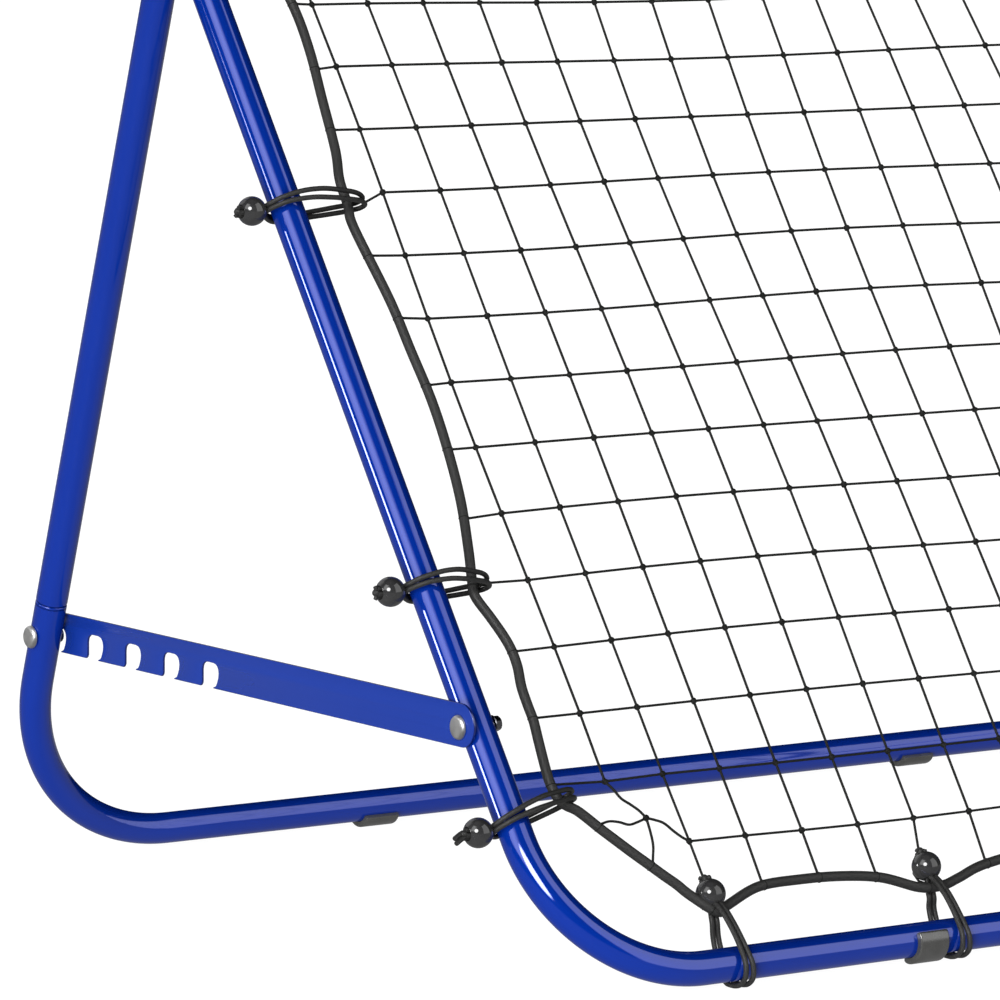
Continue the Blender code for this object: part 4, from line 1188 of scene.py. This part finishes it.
net_piece = net.build("look_net", TWINE, FRONT)
stand_for(net_piece, "front_frame", "net_twine", "net_panel")


# ---- floor, light and camera ------------------------------------------------
def studio_bowl():
    """A pale floor that curves up into an even surround."""
    profile = [(0.0, 0.0), (2.0, 0.0), (6.0, 0.0), (16.0, 0.0), (36.0, 0.0)]
    profile += [(36.0 + 10.0 * math.sin(math.radians(a)), 10.0 - 10.0 * math.cos(math.radians(a))) for a in range(6, 91, 6)]
    profile += [(46.0, 26.0)]
    steps = 96
    verts, faces = [(0.0, 0.0, 0.0)], []
    for radius, height in profile[1:]:
        verts += [(radius * math.cos(math.tau * k / steps), radius * math.sin(math.tau * k / steps), height) for k in range(steps)]
    for k in range(steps):
        faces.append((0, 1 + k, 1 + (k + 1) % steps))
    for row in range(len(profile) - 2):
        a, b = 1 + row * steps, 1 + (row + 1) * steps
        for k in range(steps):
            j = (k + 1) % steps
            faces.append((a + k, b + k, b + j, a + j))
    mesh = bpy.data.meshes.new("studio_floor")
    mesh.from_pydata(verts, [], faces)
    mesh.shade_smooth()
    obj = bpy.data.objects.new("studio_floor", mesh)
    scene.collection.objects.link(obj)
    paper = bpy.data.materials.new("white_paper")
    paper.use_nodes = True
    tree = paper.node_tree
    tree.nodes.clear()
    g = Graph(tree)
    out = g.node("ShaderNodeOutputMaterial")
    glow = g.node("ShaderNodeEmission")
    glow.inputs["Color"].default_value = (1, 1, 1, 1)
    glow.inputs["Strength"].default_value = 0.97
    matt = g.node("ShaderNodeBsdfDiffuse")
    grain = g.noise(g.node("ShaderNodeTexCoord").outputs["Object"], 40.0, 2.0)
    g.put(matt.inputs["Color"], g.mix(grain, (0.10, 0.10, 0.10), (0.13, 0.13, 0.13)))
    both = g.node("ShaderNodeAddShader")
    tree.links.new(glow.outputs[0], both.inputs[0])
    tree.links.new(matt.outputs[0], both.inputs[1])
    tree.links.new(both.outputs[0], out.inputs["Surface"])
    mesh.materials.append(paper)
    # The light comes from the surround below; the sheet itself is only seen.
    obj.visible_diffuse = False
    obj.visible_glossy = False
    obj.visible_transmission = False
    obj.visible_shadow = False
    return obj


studio_bowl()


def studio_light():
    """Large soft boxes round the object, drawn on the sky by direction."""
    world = bpy.data.worlds.new("studio")
    world.use_nodes = True
    scene.world = world
    tree = world.node_tree
    tree.nodes.clear()
    g = Graph(tree)
    out = g.node("ShaderNodeOutputWorld")
    back = g.node("ShaderNodeBackground")
    tree.links.new(back.outputs[0], out.inputs["Surface"])
    way = g.node("ShaderNodeTexCoord").outputs["Generated"]
    split = g.node("ShaderNodeSeparateXYZ")
    g.put(split.inputs[0], way)
    x, y, z = split.outputs
    elevation = g.math("ARCSINE", z)
    azimuth = g.math("ARCTAN2", y, x)
    away = g.math("ARCTAN2", g.math("MULTIPLY", y, -1.0), g.math("MULTIPLY", x, -1.0))

    def deg(value):
        return math.radians(value)

    def band(value, low, high, soft_low, soft_high):
        rise = g.step(value, deg(low - soft_low), deg(low + soft_low))
        fall = g.step(value, deg(high - soft_high), deg(high + soft_high), 1.0, 0.0)
        return g.math("MULTIPLY", rise, fall)

    def spot(direction, inner, outer, level):
        cosine = g.dot(way, tuple(Vector(direction).normalized()))
        return g.step(cosine, math.cos(deg(outer)), math.cos(deg(inner)), 0.0, level)

    def toward(azimuth_deg, elevation_deg):
        a, e = deg(azimuth_deg), deg(elevation_deg)
        return (math.cos(e) * math.cos(a), math.cos(e) * math.sin(a), math.sin(e))

    above = g.step(elevation, deg(-1.5), deg(3.5))
    below = g.math("SUBTRACT", 1.0, above)
    floor_right = g.dot(way, toward(-10, -25))
    ground = g.step(floor_right, 0.3, 1.0, GROUND, GROUND * 1.5)
    right_box = g.math("MULTIPLY", band(azimuth, -82, -29, 3, 3), g.step(elevation, deg(54), deg(58), 1.0, 0.0))
    left_box = g.math("MULTIPLY", band(away, -6, 34, 2, 16), band(elevation, 18, 57, 3, 4))
    left_power = g.step(away, deg(-6), deg(14), LEFT_EDGE, LEFT_MIDDLE)
    rear_box = g.math("MULTIPLY", band(azimuth, 66, 132, 6, 6), band(elevation, 12, 52, 5, 5))
    top = g.math("ADD", g.math("MULTIPLY", right_box, RIGHT_BOX), g.math("MULTIPLY", left_box, left_power))
    top = g.math("ADD", top, g.math("MULTIPLY", rear_box, REAR_BOX))
    top = g.math("ADD", top, g.step(elevation, deg(66), deg(80), 0.0, OVERHEAD))
    top = g.math("ADD", top, spot(toward(156, 8), 4.0, 7.0, STRIP))
    top = g.math("ADD", top, spot((-0.68, -0.60, 0.42), 11.0, 15.5, KEY))
    total = g.math("ADD", g.math("MULTIPLY", above, top), g.math("MULTIPLY", below, ground))
    back.inputs["Color"].default_value = (1, 1, 1, 1)
    g.put(back.inputs["Strength"], total)


GROUND, OVERHEAD, REAR_BOX = 0.26, 0.12, 0.9
RIGHT_BOX, LEFT_EDGE, LEFT_MIDDLE, STRIP, KEY = 2.1, 2.6, 3.7, 24.0, 24.0
BOUNCE = 740.0
studio_light()


def bounce(way, distance, radius, power, target=(-0.2, 0.0, 0.35)):
    """Soft light from low in front, that lights but isn't mirrored in the enamel."""
    data = bpy.data.lights.new("bounce", "AREA")
    data.shape = "DISK"
    data.size = radius * 2
    data.energy = power
    obj = bpy.data.objects.new("bounce", data)
    scene.collection.objects.link(obj)
    way = Vector(way).normalized()
    obj.location = Vector(target) + way * distance
    obj.rotation_euler = (-way).to_track_quat("-Z", "Y").to_euler()
    obj.visible_glossy = False
    obj.visible_camera = False
    return obj


bounce((-0.75, -0.55, -0.35), 6.0, 2.0, BOUNCE)

camera_data = bpy.data.cameras.new("photo_camera")
camera_data.sensor_width = 36.0
camera_data.lens = 36.0 * 6.40848
camera_data.clip_start, camera_data.clip_end = 0.1, 120.0
camera = bpy.data.objects.new("photo_camera", camera_data)
scene.collection.objects.link(camera)
camera.location = (-3.16508, -3.98716, 0.87466)
camera.rotation_euler = (math.radians(90 - 6.603), 0.0, -math.radians(34.660))
scene.camera = camera
scene.view_settings.view_transform = "Standard"
scene.view_settings.look = "None"
